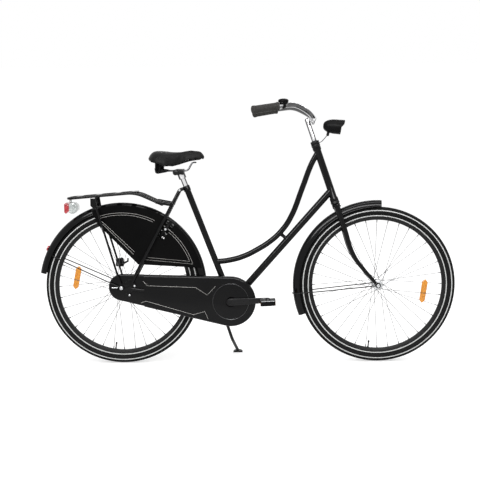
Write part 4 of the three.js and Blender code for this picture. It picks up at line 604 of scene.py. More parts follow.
def halved(obj, place, normal, **cleared):
    """A piece cut by a plane, with the cut closed."""
    edit(obj)
    bpy.ops.mesh.bisect(plane_co=place, plane_no=normal, use_fill=True, **cleared)
    leave()
    return obj


def capped(obj):
    edit(obj)
    bpy.ops.mesh.fill_holes(sides=0)
    leave()
    return obj


def finished(obj, name, body, slot, material=None, smooth=40, lean=True):
    """A drawn piece is leaned over with the bike, smoothed, painted and hung on its body.
    It stands for the node that has its name, if there is one."""
    nodes = (name,) if name in frame["nodes"] else ()
    if lean:
        obj.data.transform(BIKE)
    obj.name = name + "_look" if nodes else name
    obj.data.name = obj.name
    pick(obj)
    bpy.ops.object.shade_smooth_by_angle(angle=math.radians(smooth))
    if not obj.data.materials:
        obj.data.materials.append(material or FINISHES[slot])
    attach(obj, body)
    if nodes:
        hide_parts(*nodes)
    return obj


def node_copy(node):
    """A node's faces as one merged mesh, free to be rounded and smoothed."""
    source = frame["nodes"][node]
    obj = bpy.data.objects.new(node + "_copy", source.data.copy())
    bpy.context.scene.collection.objects.link(obj)
    obj.data.materials.clear()
    edit(obj)
    bpy.ops.mesh.remove_doubles(threshold=1e-5)
    bpy.ops.mesh.dissolve_limited(angle_limit=math.radians(0.5))
    leave()
    return obj


def polished(node, body, slot, rounding, smooth=35, segments=2):
    """The node's own shape with its edges rounded."""
    obj = node_copy(node)
    if rounding:
        bevelled(obj, rounding, segments)
    return finished(obj, node, body, slot, smooth=smooth, lean=False)


# Finishes

def put(node, **values):
    """Set inputs of a shader node; a low line stands for each space in their names."""
    for key, value in values.items():
        node.inputs[key.replace("_", " ")].default_value = value
    return node


def added(tree, kind, **values):
    return put(tree.nodes.new("ShaderNode" + kind), **values)


def new_finish(name, colour, roughness, metallic=0.0):
    material = bpy.data.materials.new(name)
    material.use_nodes = True
    tree = material.node_tree
    shader = tree.nodes["Principled BSDF"]
    put(shader, Base_Color=(*colour, 1), Roughness=roughness, Metallic=metallic)
    return material, tree, shader


def noise(tree, scale, detail=3.0, stretch=(1, 1, 1)):
    place = added(tree, "TexCoord")
    mapping = added(tree, "Mapping", Scale=stretch)
    texture = added(tree, "TexNoise", Scale=scale, Detail=detail)
    tree.links.new(place.outputs["Object"], mapping.inputs["Vector"])
    tree.links.new(mapping.outputs["Vector"], texture.inputs["Vector"])
    return texture.outputs["Fac"]


def cells(tree, scale):
    place = added(tree, "TexCoord")
    texture = added(tree, "TexVoronoi", Scale=scale)
    tree.links.new(place.outputs["Object"], texture.inputs["Vector"])
    return texture.outputs["Distance"]


def between(tree, value, low, high, source=(0.3, 0.7)):
    """A value stretched from its source range to the range from low to high."""
    ramp = added(
        tree, "MapRange", From_Min=source[0], From_Max=source[1], To_Min=low, To_Max=high,
    )
    tree.links.new(value, ramp.inputs["Value"])
    return ramp.outputs["Result"]


def colour_ramp(tree, value, stops):
    """Colours at places along a value; the first and last stop are the ramp's own."""
    ramp = added(tree, "ValToRGB")
    marks = ramp.color_ramp.elements
    for place, _ in stops[2:]:
        marks.new(place)
    for mark, (place, colour) in zip(marks, stops):
        mark.position = place
        mark.color = (*colour, 1)
    tree.links.new(value, ramp.inputs["Fac"])
    return ramp.outputs["Color"]


def shaded(tree, shader, value, dark, light):
    colour = colour_ramp(tree, value, ((0.3, dark), (0.7, light)))
    tree.links.new(colour, shader.inputs["Base Color"])


def raised(tree, shader, value, strength, distance):
    bump = added(tree, "Bump", Strength=strength, Distance=distance)
    tree.links.new(value, bump.inputs["Height"])
    tree.links.new(bump.outputs["Normal"], shader.inputs["Normal"])


def mirrored(shader, level, coat=0.0):
    """How much of the white room a dark surface gives back."""
    put(shader, Specular_IOR_Level=level, Coat_Weight=coat, Coat_Roughness=0.05)


def surface(name, tones, cloud, rough, rough_cloud, level, coat=0.0):
    """A dark surface, clouded between two tones and between two roughnesses."""
    material, tree, shader = new_finish(name, tones[0], rough[0])
    mirrored(shader, level, coat)
    shaded(tree, shader, noise(tree, cloud), *tones)
    tree.links.new(between(tree, noise(tree, rough_cloud), *rough), shader.inputs["Roughness"])
    return material, tree, shader


def lacquer():
    tones = ((0.002, 0.002, 0.0025), (0.004, 0.004, 0.0042))
    material, tree, shader = surface("black_lacquer", tones, 6, (0.1, 0.17), 40, 0.1, 0.1)
    raised(tree, shader, noise(tree, 260, 2), 0.04, 0.0004)
    return material


def plated(name, colour, low, high, grain):
    """Bright metal, with a painted reflection: a dark stripe is painted into its colour between a
    tube's face and its edge.
    """
    material, tree, shader = new_finish(name, colour, low, 1.0)
    # Painted reflection: the colour darkens by facing angle, standing in for a dark stripe the tube
    # would mirror.
    facing = added(tree, "LayerWeight", Blend=0.5)
    dark = tuple(part * 0.14 for part in colour)
    stops = ((0.1, colour), (0.18, dark), (0.6, dark), (0.8, colour))
    painted_reflection_band = colour_ramp(tree, facing.outputs["Facing"], stops)
    tint = tree.nodes.new("ShaderNodeMix")
    tint.data_type = "RGBA"
    tint.blend_type = "MULTIPLY"
    put(tint, Factor=1)
    tree.links.new(painted_reflection_band, tint.inputs["A"])
    tree.links.new(between(tree, noise(tree, grain), 0.84, 1, (0, 1)), tint.inputs["B"])
    tree.links.new(tint.outputs["Result"], shader.inputs["Base Color"])
    tree.links.new(between(tree, noise(tree, grain * 4), low, high), shader.inputs["Roughness"])
    raised(tree, shader, noise(tree, grain * 9, 2), 0.03, 0.0003)
    return material


def rubber(name, dark, light, roughness, grain, depth, level=0.1):
    rough = (roughness - 0.08, roughness + 0.08)
    material, tree, shader = surface(name, (dark, light), grain / 6, rough, grain / 3, level)
    raised(tree, shader, noise(tree, grain, 4), 0.35, depth)
    return material


def sheet_vinyl():
    tones = ((0.001, 0.001, 0.0012), (0.003, 0.003, 0.003))
    material, tree, shader = surface("guard_vinyl", tones, 5, (0.26, 0.36), 18, 0.05)
    raised(tree, shader, noise(tree, 9, 1), 0.08, 0.002)
    return material


def prism_plastic(name, dark, light, pitch, painted_glow=0.0):
    material, tree, shader = new_finish(name, light, 0.18)
    facets = cells(tree, pitch)
    shaded(tree, shader, facets, light, dark)
    raised(tree, shader, facets, 0.5, 0.0012)
    # A strength above nought gives a painted glow: a faint emission of the lighter colour, with no
    # lamp behind it.
    put(shader, Coat_Weight=0.5, Emission_Color=(*light, 1), Emission_Strength=painted_glow)
    return material


def lamp_glass():
    material, tree, shader = new_finish("clear_lens", (0.86, 0.9, 0.92), 0.08)
    put(shader, Transmission_Weight=0.35)
    raised(tree, shader, noise(tree, 120, 1, (1, 6, 1)), 0.5, 0.001)
    shaded(tree, shader, noise(tree, 60), (0.72, 0.77, 0.8), (0.9, 0.93, 0.95))
    return material


def saddle_leather():
    tones = ((0.005, 0.005, 0.005), (0.010, 0.010, 0.010))
    material, tree, shader = surface("saddle_cover", tones, 14, (0.42, 0.56), 60, 0.08)
    raised(tree, shader, cells(tree, 900), 0.25, 0.0004)
    put(shader, Sheen_Weight=0.03, Sheen_Roughness=0.5)
    return material


def paint(name, dark, light, roughness, cloud):
    material, tree, shader = new_finish(name, light, roughness)
    shaded(tree, shader, noise(tree, cloud), dark, light)
    return material


def all_finishes():
    black = (0.004, 0.004, 0.0042)
    tread = (0.010, 0.010, 0.010)
    satin = (0.007, 0.007, 0.0075)
    moulded = (0.006, 0.006, 0.0065)
    grey = ((0.035, 0.034, 0.032), (0.05, 0.048, 0.046))
    return {
        "frame_paint": lacquer(),
        # Chrome and both steels carry the painted reflection of plated().
        "chrome": plated("bright_chrome", (0.82, 0.82, 0.83), 0.04, 0.09, 30),
        "steel": plated("zinc_steel", (0.6, 0.61, 0.62), 0.24, 0.36, 60),
        "dark_steel": plated("oiled_steel", (0.13, 0.13, 0.135), 0.35, 0.5, 60),
        "tyre": rubber("tyre_rubber", black, tread, 0.72, 420, 0.0005),
        "grip_rubber": rubber("grip_rubber", *grey, 0.62, 500, 0.0005),
        "black_alloy": rubber("satin_black", black, satin, 0.34, 320, 0.0002, 0.2),
        "black_plastic": rubber("moulded_black", black, moulded, 0.42, 380, 0.0003, 0.06),
        "guard_vinyl": sheet_vinyl(),
        # The amber reflectors and red lenses get a faint painted glow.
        "amber": prism_plastic("amber_reflector", (0.62, 0.2, 0.005), (0.9, 0.36, 0.01), 260, 0.1),
        "lamp_body": prism_plastic("pale_lamp_body", (0.42, 0.45, 0.44), (0.75, 0.79, 0.77), 150),
        "red_lens": prism_plastic("red_lens", (0.3, 0.006, 0.012), (0.62, 0.02, 0.035), 240, 0.1),
        "clear_lens": lamp_glass(),
        "saddle_cover": saddle_leather(),
    }


FINISHES = all_finishes()
LINE_PAINT = paint("line_paint", (0.36, 0.35, 0.33), (0.48, 0.47, 0.45), 0.35, 80)
# Pale paint for the tyres' reflex stripes, also used as the rims' painted edge highlight.
PALE_STRIPE_AND_HIGHLIGHT = paint("reflex_stripe_and_rim_highlight", (0.62, 0.63, 0.62), (0.8, 0.81, 0.8), 0.45, 150)


# Wheels

def tyre(name, centre, body):
    half = TYRE_WIDTH / 2
    middle = TYRE_RADIUS - half
    rows = []
    for angle in [-turn for turn in reversed(TYRE_ANGLES)] + list(TYRE_ANGLES):
        reach = half - (GROOVE_DEPTH if abs(angle) in TYRE_GROOVES else 0)
        turn = math.radians(angle)
        rows.append((middle + reach * math.cos(turn), reach * math.sin(turn)))
    rows = [(BEAD_RADIUS, rows[0][1])] + rows + [(BEAD_RADIUS, rows[-1][1])]
    obj = lathe(centre, rows, WHEEL_STEPS, ring=True)
    obj.data.materials.append(FINISHES["tyre"])
    obj.data.materials.append(PALE_STRIPE_AND_HIGHLIGHT)
    high, low = (middle + half * math.cos(math.radians(angle)) for angle in STRIPE_ANGLES)
    for face in obj.data.polygons:
        place = face.center - centre
        if low < math.hypot(place.x, place.z) < high and abs(place.y) > half * 0.9:
            face.material_index = 1
    return finished(obj, name + "_tyre", body, "tyre", smooth=25)


def rim(name, centre, body):
    half = RIM_WIDTH / 2
    obj = lathe(centre, both_sides([
        (RIM_INNER, 0), (RIM_INNER, -RIM_BED * 0.36), (RIM_INNER + 0.0015, -RIM_BED / 2),
        (RIM_EDGE - 0.003, -half), (RIM_EDGE - 0.0006, -half), (RIM_EDGE, -half + 0.001),
        (RIM_EDGE - 0.001, -half + 0.0022), (BEAD_RADIUS, -half + 0.0022),
    ]), WHEEL_STEPS)
    finished(obj, name + "_rim", body, "black_alloy", smooth=30)
    # A pale ring on each side of the rim: its polished edge, with the highlight painted in as pale
    # colour.
    low, high = EDGE_HIGHLIGHT_RING
    rings = []
    for side in (1, -1):
        near, far = side * (half - 0.0003), side * (half + 0.0006)
        rows = [(low, near), (high, near), (high - 0.0004, far), (low + 0.0004, far)]
        rings.append(lathe(centre, rows, WHEEL_STEPS, ring=True))
    finished(joined(rings), name + "_rim_edge_highlight", body, "steel", PALE_STRIPE_AND_HIGHLIGHT)


def hub(name, centre, flange, spread, barrel, half):
    rise = 0.0018
    obj = lathe(centre, both_sides([
        (AXLE_BORE, -half), (barrel * 0.62, -half), (barrel * 0.7, -half + rise),
        (barrel * 0.7, -spread - rise), (flange - rise, -spread - rise),
        (flange, -spread - rise / 3), (flange, -spread + rise / 3), (flange - rise, -spread + rise),
        (barrel + rise, -spread + rise), (barrel, -spread + rise * 4),
    ]), ring=True)
    obj.data.materials.append(FINISHES["black_alloy" if name == "rear" else "steel"])
    return obj


def spokes(centre, flange, spread):
    """Crossing spokes on both flanges, each with its nipple at the rim."""
    ahead = Vector((1, 0, 0))
    base = turned(Vector(), ahead, [(0, 0), (SPOKE_RADIUS, 0), (SPOKE_RADIUS, 1), (0, 1)], 8)
    nipple = turned(Vector(), ahead, NIPPLE_ROWS, 8)
    layer = SPOKE_RADIUS + 0.0003
    step = 360 / SPOKES_PER_SIDE
    objs = []
    for side in (1, -1):
        for i in range(SPOKES_PER_SIDE):
            lead = 1 if i % 2 == 0 else -1
            angle = step * i + (0 if side > 0 else step / 2)
            start = polar(centre, flange - SPOKE_INSET, angle, side * (spread + lead * layer))
            tip_side = side * (SPOKE_TIP_SPREAD + lead * layer)
            end = polar(centre, RIM_INNER - 0.0005, angle + lead * SPOKE_CROSS, tip_side)
            line = end - start
            turn = turn_onto(ahead, line)
            stretch = Matrix.Diagonal((line.length, 1, 1, 1))
            objs.append(copied(base, Matrix.Translation(start) @ turn @ stretch))
            seat = end - line.normalized() * NIPPLE_REACH
            objs.append(copied(nipple, Matrix.Translation(seat) @ turn))
    for obj in objs:
        obj.data.materials.append(FINISHES["dark_steel"])
    for tool in (base, nipple):
        bpy.data.objects.remove(tool)
    return objs


def wheel(name, centre, body, flange, spread, barrel, half):
    tyre(name, centre, body)
    rim(name, centre, body)
    parts = [hub(name, centre, flange, spread, barrel, half)] + spokes(centre, flange, spread)
    finished(joined(parts), name + "_hub_and_spokes", body, "steel")
    foot = polar(centre, RIM_INNER, VALVE_ANGLE)
    stem_of_valve = turned(foot, centre - foot, VALVE_ROWS, 16)
    finished(stem_of_valve, name + "_valve", body, "black_plastic")
    polished(name + "_wheel_reflector", body, "amber", 0.003, segments=3)


# Fenders, with a rolled edge and a round crown

def fender_parts(centre, arc):
    start, end = arc
    steps = round((end - start) / FENDER_STEP)
    rows = []
    for i in range(13):
        angle = math.radians(-90 + 15 * i)
        radius = FENDER_EDGE + FENDER_DEPTH * math.cos(angle)
        rows.append((radius, FENDER_HALF_WIDTH * math.sin(angle)))
    obj = lathe(centre, rows, steps, arc)
    parts = [modified(obj, "SOLIDIFY", thickness=FENDER_WALL, offset=-1)]
    for side in (1, -1):
        bead_side = side * FENDER_HALF_WIDTH * 0.98
        places = [
            polar(centre, FENDER_EDGE, start + (end - start) * i / steps, bead_side)
            for i in range(steps + 1)
        ]
        parts.append(piped(places, BEAD_ROLL, smooth=False, detail=2))
    return parts


def fenders():
    front = joined(fender_parts(FRONT_AXLE, FRONT_FENDER_ARC))
    finished(front, "front_fender", "steering", "frame_paint")
    parts = fender_parts(REAR_AXLE, REAR_FENDER_ARC)
    for part in parts:
        cut(part, lock_room(LOCK_OUTER + LOCK_GAP, LOCK_WIDTH / 2 + LOCK_GAP))
    finished(joined(parts), "rear_fender", "root", "frame_paint")
    outward = polar(Vector(), 1, TAIL_REFLECTOR_ANGLE)
    foot = REAR_AXLE + outward * (FENDER_RADIUS - 0.0005)
    lens = turned(foot, outward, TAIL_REFLECTOR_ROWS, 32)
    finished(lens, "fender_reflector", "root", "red_lens")


# Frame tubes

def top_tube_places():
    start = BRACKET + SEAT_LINE * TOP_TUBE_SEAT_RISE
    end = on_head(0, HEAD_TUBE_LENGTH - TOP_TUBE_HEAD_DROP)
    between_ends = [
        Vector((start.x + (end.x - start.x) * ahead, 0, start.z + (end.z - start.z) * up))
        for ahead, up in TOP_TUBE_SHARES
    ]
    return [start, *between_ends, end]


def place_along(points, share):
    lengths = [(b - a).length for a, b in zip(points, points[1:])]
    left = share * sum(lengths)
    for a, length, b in zip(points, lengths, points[1:]):
        if left <= length:
            return a.lerp(b, left / length)
        left -= length
    return points[-1]


def main_tubes():
    places = top_tube_places()
    obj = piped(places, TOP_TUBE_RADIUS, detail=8)
    low, high = (on_head(0, HEAD_TUBE_LENGTH * share) for share in (0.7, 1.1))
    cut(obj, rod(low, high, QUILL_ROOM))
    finished(obj, "top_tube", "root", "frame_paint")

    start = BRACKET + Vector((DOWN_TUBE_OFFSET, 0, 0))
    end = on_head(0, DOWN_TUBE_HEAD_RISE)
    line = (end - start).normalized()
    top = place_along(places, BRIDGE_SHARE)
    foot = start + line * (top - start).dot(line)
    length = (top - foot).length
    rows = [(BRIDGE_RADIUS * wide, length * share) for wide, share in BRIDGE_ROWS]
    bridge = turned(foot, top - foot, rows, 24)
    tube = piped([start, end], DOWN_TUBE_RADIUS, detail=8)
    finished(joined([tube, bridge]), "down_tube", "root", "frame_paint")

    rows = [(CUP_BORE, 0.0), (0.0195, 0.0), (0.0195, 0.012), (HEAD_TUBE_RADIUS, 0.017)]
    rows += [(radius, HEAD_TUBE_LENGTH - up) for radius, up in reversed(rows)]
    obj = turned(HEAD_FOOT, HEAD_LINE, rows, 40, ring=True)
    finished(obj, "head_tube", "root", "frame_paint")


def seat_tube():
    tube = piped([BRACKET, SEAT_TOP], SEAT_TUBE_RADIUS, detail=8)
    thick = SEAT_TUBE_RADIUS + 0.0022
    collar = turned(SEAT_TOP - SEAT_LINE * COLLAR_HEIGHT, SEAT_LINE, [
        (SEAT_TUBE_RADIUS, 0), (thick, 0.002), (thick, COLLAR_HEIGHT - 0.002),
        (SEAT_TUBE_RADIUS + 0.001, COLLAR_HEIGHT + 0.0005), (0.0124, COLLAR_HEIGHT + 0.0005),
    ], 40)
    lug_top = SEAT_TOP + Vector((-STAY_TOP[0], 0, -STAY_TOP[1]))
    lug = rod(SEAT_TOP - SEAT_LINE * STAY_TOP[1] / 2, lug_top, LUG_RADIUS, 0.002)
    lug_half = STAY_TOP_SPREAD + 0.011
    bolt = pin(lug_top, 0.0068, -lug_half, lug_half, 0.002)
    shell = lathe(BRACKET, both_sides([
        (0.0085, -BRACKET_HALF), (BRACKET_RADIUS - 0.001, -BRACKET_HALF),
        (BRACKET_RADIUS, -BRACKET_HALF + 0.001),
    ]), 40)
    finished(joined([tube, collar, lug, bolt, shell]), "seat_tube", "root", "frame_paint")


def stay_ends(side):
    foot = REAR_AXLE + Vector((STAY_FOOT[0], side * DROPOUT_SPREAD, STAY_FOOT[1]))
    top = SEAT_TOP + Vector((-STAY_TOP[0], side * STAY_TOP_SPREAD, -STAY_TOP[1]))
    return foot, top


def dropout(side):
    """A plate with the axle's slot, open to the rear."""
    back, front = DROPOUT_REACH
    half, slot, tip, (ahead, up) = DROPOUT_HALF, 0.0053, 0.0045, STAY_FOOT
    outline = [
        (back, -half / 2), (0, -half), (front, -half), (front, half),
        (ahead + STAY_EAR, up + half), (ahead - STAY_EAR, up + half), (0, half),
        (back, half / 2), (back, slot), (0, slot), (tip, 0.003), (tip, -0.003),
        (0, -slot), (back, -slot),
    ]
    places = [(x, REAR_AXLE.z + z) for x, z in outline]
    inner = side * (DROPOUT_SPREAD - DROPOUT_THICKNESS / 2)
    return plate(places, inner, inner + side * DROPOUT_THICKNESS, 0.0008)


def stay_bridge(foot, top):
    """The short bridge between the seat stays, just outside the fender."""
    foot, top = (Vector((end.x, 0, end.z)) for end in (foot, top))
    along = 0
    while along < 1 and (foot.lerp(top, along) - REAR_AXLE).length < FENDER_RADIUS + 0.0063:
        along += 0.001
    return pin(foot.lerp(top, along), 0.006, -0.038, STAY_BOW_SPREAD, 0.001)


def rear_stays(side, name):
    foot, top = stay_ends(side)
    bow = foot.lerp(top, STAY_BOW_SHARE)
    bow.y = side * STAY_BOW_SPREAD
    seat_stay = piped(bent([foot, bow, top], 0.06), STAY_RADIUS, smooth=False, detail=6)
    start = Vector((BRACKET.x, side * CHAIN_STAY_SPREAD, BRACKET.z))
    end = BRACKET.lerp(REAR_AXLE, 1 - STAY_FOOT[0] / BRACKET.x)
    end.y = side * DROPOUT_SPREAD
    chain_stay = piped([start, end], STAY_RADIUS, smooth=False, detail=6)
    objs = [seat_stay, chain_stay, dropout(side)]
    if side > 0:
        objs.append(stay_bridge(foot, top))
    finished(joined(objs), name, "root", "frame_paint")


# Fork, stem and handlebar

def fork():
    crown = -CUP_HEIGHT - 0.0006 - CROWN_HEIGHT / 2
    seat, edge = 0.0165, 0.019
    objs = [turned(on_head(0, crown - CROWN_HEIGHT / 2), HEAD_LINE, [
        (0, 0), (seat, 0), (edge, 0.003), (edge, CROWN_HEIGHT - 0.003), (seat, CROWN_HEIGHT),
        (0, CROWN_HEIGHT),
    ], 40)]
    ends = [on_head(0, crown, side * (BLADE_TOP_SPREAD + 0.006)) for side in (-1, 1)]
    objs.append(rod(*ends, 0.011, 0.004))
    ends = [on_head(0, HEAD_TUBE_LENGTH + rise) for rise in (-QUILL_DEPTH, STEERER_RISE)]
    objs.append(rod(*ends, STEERER_RADIUS, 0.001))
    objs.append(rod(on_head(0, crown), on_head(0, crown - 0.024), 0.009, 0.001))
    middle = (BLADE_TOP_SPREAD + BLADE_TIP_SPREAD) / 2
    taper = (BLADE_TIP_RADIUS - BLADE_TOP_RADIUS) / 4
    radii = [BLADE_TOP_RADIUS + taper * i for i in range(5)]
    for side in (1, -1):
        places = [
            on_head(0, crown, side * BLADE_TOP_SPREAD),
            on_head(0, -BLADE_STRAIGHT / 2, side * BLADE_TOP_SPREAD),
            on_head(0, -BLADE_STRAIGHT, side * middle),
            on_head(FORK_RAKE * 0.42, -(BLADE_STRAIGHT + FORK_DROP) / 2, side * BLADE_TIP_SPREAD),
            on_head(FORK_RAKE * 0.9, -FORK_DROP * 0.97, side * BLADE_TIP_SPREAD),
        ]
        objs.append(piped(places, BLADE_TOP_RADIUS, radii, detail=6))
        inner = side * (BLADE_TIP_SPREAD - DROPOUT_THICKNESS / 2)
        tip = on_head(FORK_RAKE, -FORK_DROP)
        objs.append(pin(tip, FORK_EYE_RADIUS, inner, inner + side * DROPOUT_THICKNESS, 0.0008))
    finished(joined(objs), "fork", "steering", "frame_paint")


def bar_half(side):
    centre = on_head(CLAMP_REACH, STEM_TOP - CLAMP_DROP)
    places = [centre + Vector((0, side * (CLAMP_HALF + 0.006), 0))]
    for back, out, up in BAR_SHARES:
        reach = Vector((-back * BAR_REACH_BACK, side * out * BAR_HALF_WIDTH, up * BAR_RISE))
        places.append(centre + reach)
    return places


def stem():
    clamp = on_head(CLAMP_REACH, STEM_TOP - CLAMP_DROP)
    length = STEM_TOP - HEAD_TUBE_LENGTH + QUILL_DEPTH
    quill = turned(on_head(0, HEAD_TUBE_LENGTH - QUILL_DEPTH), HEAD_LINE, [
        (0, 0), (QUILL_RADIUS, 0), (QUILL_RADIUS, length - 0.006),
        (QUILL_RADIUS - 0.002, length - 0.002), (0.005, length), (0.005, length - 0.0025),
        (0, length - 0.0025),
    ], 40)
    neck = rod(on_head(0, STEM_TOP - CLAMP_DROP), clamp, QUILL_RADIUS, 0.001)
    collar = lathe(clamp, both_sides([
        (BAR_RADIUS, -CLAMP_HALF), (CLAMP_RADIUS - 0.002, -CLAMP_HALF),
        (CLAMP_RADIUS, -CLAMP_HALF + 0.002),
    ]), 40, ring=True)
    objs = [quill, neck, collar]
    for low, high, radius, rounding in ((0.022, 0.008, 0.008, 0.002), (0.027, 0.021, 0.005, 0.001)):
        ends = [clamp + Vector((0.004, 0, -drop)) for drop in (low, high)]
        objs.append(rod(*ends, radius, rounding))
    finished(joined(objs), "stem", "handlebars", "chrome")


def handlebar():
    places = bar_half(-1)[::-1] + bar_half(1)
    finished(piped(places, BAR_RADIUS, detail=8), "handlebar", "handlebars", "chrome")


def grip(side, name):
    """A grip with a round end, ribs along its length and a thick inner lip."""
    *_, before, end = bar_half(side)
    rows = [(0, -0.0053), (GRIP_END_RADIUS * 0.72, -0.0053), (GRIP_END_RADIUS * 0.92, -0.0035)]
    rows += [(GRIP_END_RADIUS, 0.0), (GRIP_END_RADIUS, 0.004), (GRIP_RADIUS + 0.0008, 0.012)]
    rib = GRIP_RADIUS + 0.0006
    along = 0.018
    while along < GRIP_LENGTH - 0.022:
        rows += [(GRIP_RADIUS, along), (rib, along + 0.001)]
        rows += [(rib, along + 0.0026), (GRIP_RADIUS, along + 0.0036)]
        along += RIB_PITCH
    lip = GRIP_RADIUS + 0.0022
    rows += [(GRIP_RADIUS + 0.0002, along), (lip, GRIP_LENGTH - 0.012)]
    rows += [(lip, GRIP_LENGTH - 0.0068), (BAR_RADIUS, GRIP_LENGTH - 0.0055)]
    finished(turned(end, before - end, rows, 32), name, "handlebars", "grip_rubber", smooth=50)


# Chaincase

def case_outline():
    """A belt round two circles, about the cranks and the rear axle."""
    reach = BRACKET - REAR_AXLE
    rise = math.degrees(math.atan2(reach.z, reach.x))
    touch = math.degrees(math.acos((CASE_REAR_RADIUS - CASE_FRONT_RADIUS) / reach.length))
    low, high = rise - touch, rise + touch
    return [
        *arc_run(BRACKET, CASE_FRONT_RADIUS, low, high, 36),
        *arc_run(REAR_AXLE, CASE_REAR_RADIUS, high, low + 360, 36),
    ]


def case_body(outer_side, **cleared):
    """The case as deep as asked, cut off at its seam."""
    body = plate(case_outline(), -outer_side, -CASE_INNER_SIDE, CASE_ROUND, 5)
    return halved(body, (CASE_SEAM, 0, 0), FORWARD, **cleared)


def chaincase():
    case = case_body(CASE_OUTER_SIDE, clear_inner=True)
    cut(case, pin(BRACKET, CASE_HOLE_RADIUS, -CASE_OUTER_SIDE - 0.01, -CASE_OUTER_SIDE + 0.012))
    finished(case, "chaincase", "root", "frame_paint")
    cover = case_body(COVER_OUTER_SIDE, clear_outer=True)
    finished(cover, "chaincase_rear_cover", "root", "frame_paint")
    low, high, half = -CASE_OUTER_SIDE + 0.0004, -CASE_OUTER_SIDE - 0.001, 0.0015
    rows = [(CASE_RING_RADIUS + reach, up) for reach, up in ((-half, low), (0, high), (half, low))]
    finished(lathe(BRACKET, rows, 96, ring=True), "chaincase_ring", "root", "steel")


# Coat guards

def coat_guard(side, name):
    outline = arc_run(REAR_AXLE, GUARD_RADIUS, *GUARD_ARC, 40)
    outline += [(GUARD_RADIUS * x, REAR_AXLE.z + GUARD_RADIUS * z) for x, z in GUARD_CORNERS]
    inner = side * GUARD_SIDE
    obj = plate(outline, inner, inner + side * GUARD_THICKNESS)
    near, low, high = LOCK_NOTCH
    far = near + 0.15
    corners = [(near, low), (far, low), (far, high), (near, high)]
    turn = Matrix.Rotation(math.radians(-LOCK_ANGLE), 4, "Y")
    notch = plate(corners, -GUARD_SIDE * 2, GUARD_SIDE * 2)
    cut(obj, placed(notch, Matrix.Translation(REAR_AXLE) @ turn))
    finished(obj, name, "root", "guard_vinyl")


def painted_lines(name, runs, side):
    """Thin painted lines that lie on a flat side of the bike."""
    objs = []
    for run in runs:
        places = [Vector((x, side, z)) for x, z in run]
        objs.append(piped(places, LINE_RADIUS, smooth=False, detail=1))
    finished(joined(objs), name, "root", "guard_vinyl", LINE_PAINT)


def guard_lines(side, name):
    runs = []
    for radius, behind, ahead, base, slant in GUARD_LINES:
        runs.append(arc_run(REAR_AXLE, radius, *behind))
        runs.append(arc_run(REAR_AXLE, radius, *ahead) + [(base[0], REAR_AXLE.z + base[1])])
        runs.append([(x, REAR_AXLE.z + z) for x, z in slant])
    painted_lines(name, runs, side * (GUARD_SIDE + GUARD_THICKNESS + LINE_RADIUS / 3))


# Ring lock, drawn about its own centre and then set on the fender

def lock_matrix():
    outward = polar(Vector(), 1, LOCK_ANGLE)
    turn = turn_to(ACROSS, Vector((-outward.z, 0, outward.x)), outward)
    return Matrix.Translation(REAR_AXLE + outward * LOCK_REACH) @ turn


def lock_room(radius, half):
    tool = lathe(Vector(), [(0, -half), (radius, -half), (radius, half), (0, half)])
    return placed(tool, lock_matrix())


def lock_barrel(outer, inner, radius, rounding):
    start, end = (Vector((-reach, 0, LOCK_BARREL_UP)) for reach in (outer, inner))
    return rod(start, end, radius, rounding)


def ring_lock():
    half = LOCK_WIDTH / 2
    body = lathe(Vector(), both_sides([
        (LOCK_INNER, -half + 0.003), (LOCK_INNER + 0.003, -half), (LOCK_OUTER - 0.005, -half),
        (LOCK_OUTER - 0.001, -half + 0.002), (LOCK_OUTER, -half + 0.004),
    ]), 56, (-90 + LOCK_MOUTH / 2, 270 - LOCK_MOUTH / 2), ring=True)
    far = LOCK_OUTER + 0.004
    slot = lathe(Vector(), [
        (LOCK_TRACK, -BOW_RADIUS), (far, -BOW_RADIUS), (far, BOW_RADIUS), (LOCK_TRACK, BOW_RADIUS),
    ], 24, (LOCK_KNOB - LOCK_SWEEP - 6, LOCK_KNOB + 6), ring=True)
    cut(capped(body), cleaned(capped(slot)))
    housing = joined([body, lock_barrel(0.052, 0.036, 0.0085, 0.002)])
    finished(placed(housing, lock_matrix()), "ring_lock_housing", "root", "black_plastic")
    key = placed(lock_barrel(0.0535, 0.051, 0.0058, 0.0008), lock_matrix())
    finished(key, "ring_lock_barrel", "root", "steel")

    start = -90 + LOCK_MOUTH / 2 + 1
    places = [polar(Vector(), LOCK_TRACK, start + BOW_ARC * i / 30) for i in range(31)]
    bow = piped(places, BOW_RADIUS, smooth=False, detail=4)
    root, tip = (polar(Vector(), reach, LOCK_KNOB) for reach in (LOCK_TRACK, LOCK_OUTER + 0.014))
    shackle = joined([bow, rod(root, tip, 0.0032, 0.0008)])
    finished(placed(shackle, lock_matrix()), "ring_lock_shackle", "lock_shackle", "chrome")


# Headset, headlamp and bell

def headset():
    rows = [
        (CUP_BORE, 0), (CUP_RADIUS - 0.003, 0), (CUP_RADIUS - 0.001, 0.001), (CUP_RADIUS, 0.0035),
        (CUP_RADIUS - 0.0012, 0.0052), (CUP_RADIUS - 0.0012, 0.0064), (CUP_RADIUS - 0.0004, 0.0072),
        (CUP_RADIUS - 0.002, 0.0132), (CUP_RADIUS - 0.003, CUP_HEIGHT), (CUP_BORE, CUP_HEIGHT),
    ]
    turned_over = [(radius, CUP_HEIGHT - up) for radius, up in reversed(rows)]
    for name, foot, shape in (
        ("headset_lower_cup", -CUP_HEIGHT - 0.0003, rows),
        ("headset_upper_cup", HEAD_TUBE_LENGTH + 0.0003, turned_over),
    ):
        obj = turned(on_head(0, foot), HEAD_LINE, shape, ring=True)
        finished(obj, name, "root", "black_alloy")
    polished("headset_locknut", "steering", "black_alloy", 0.0014, segments=3)


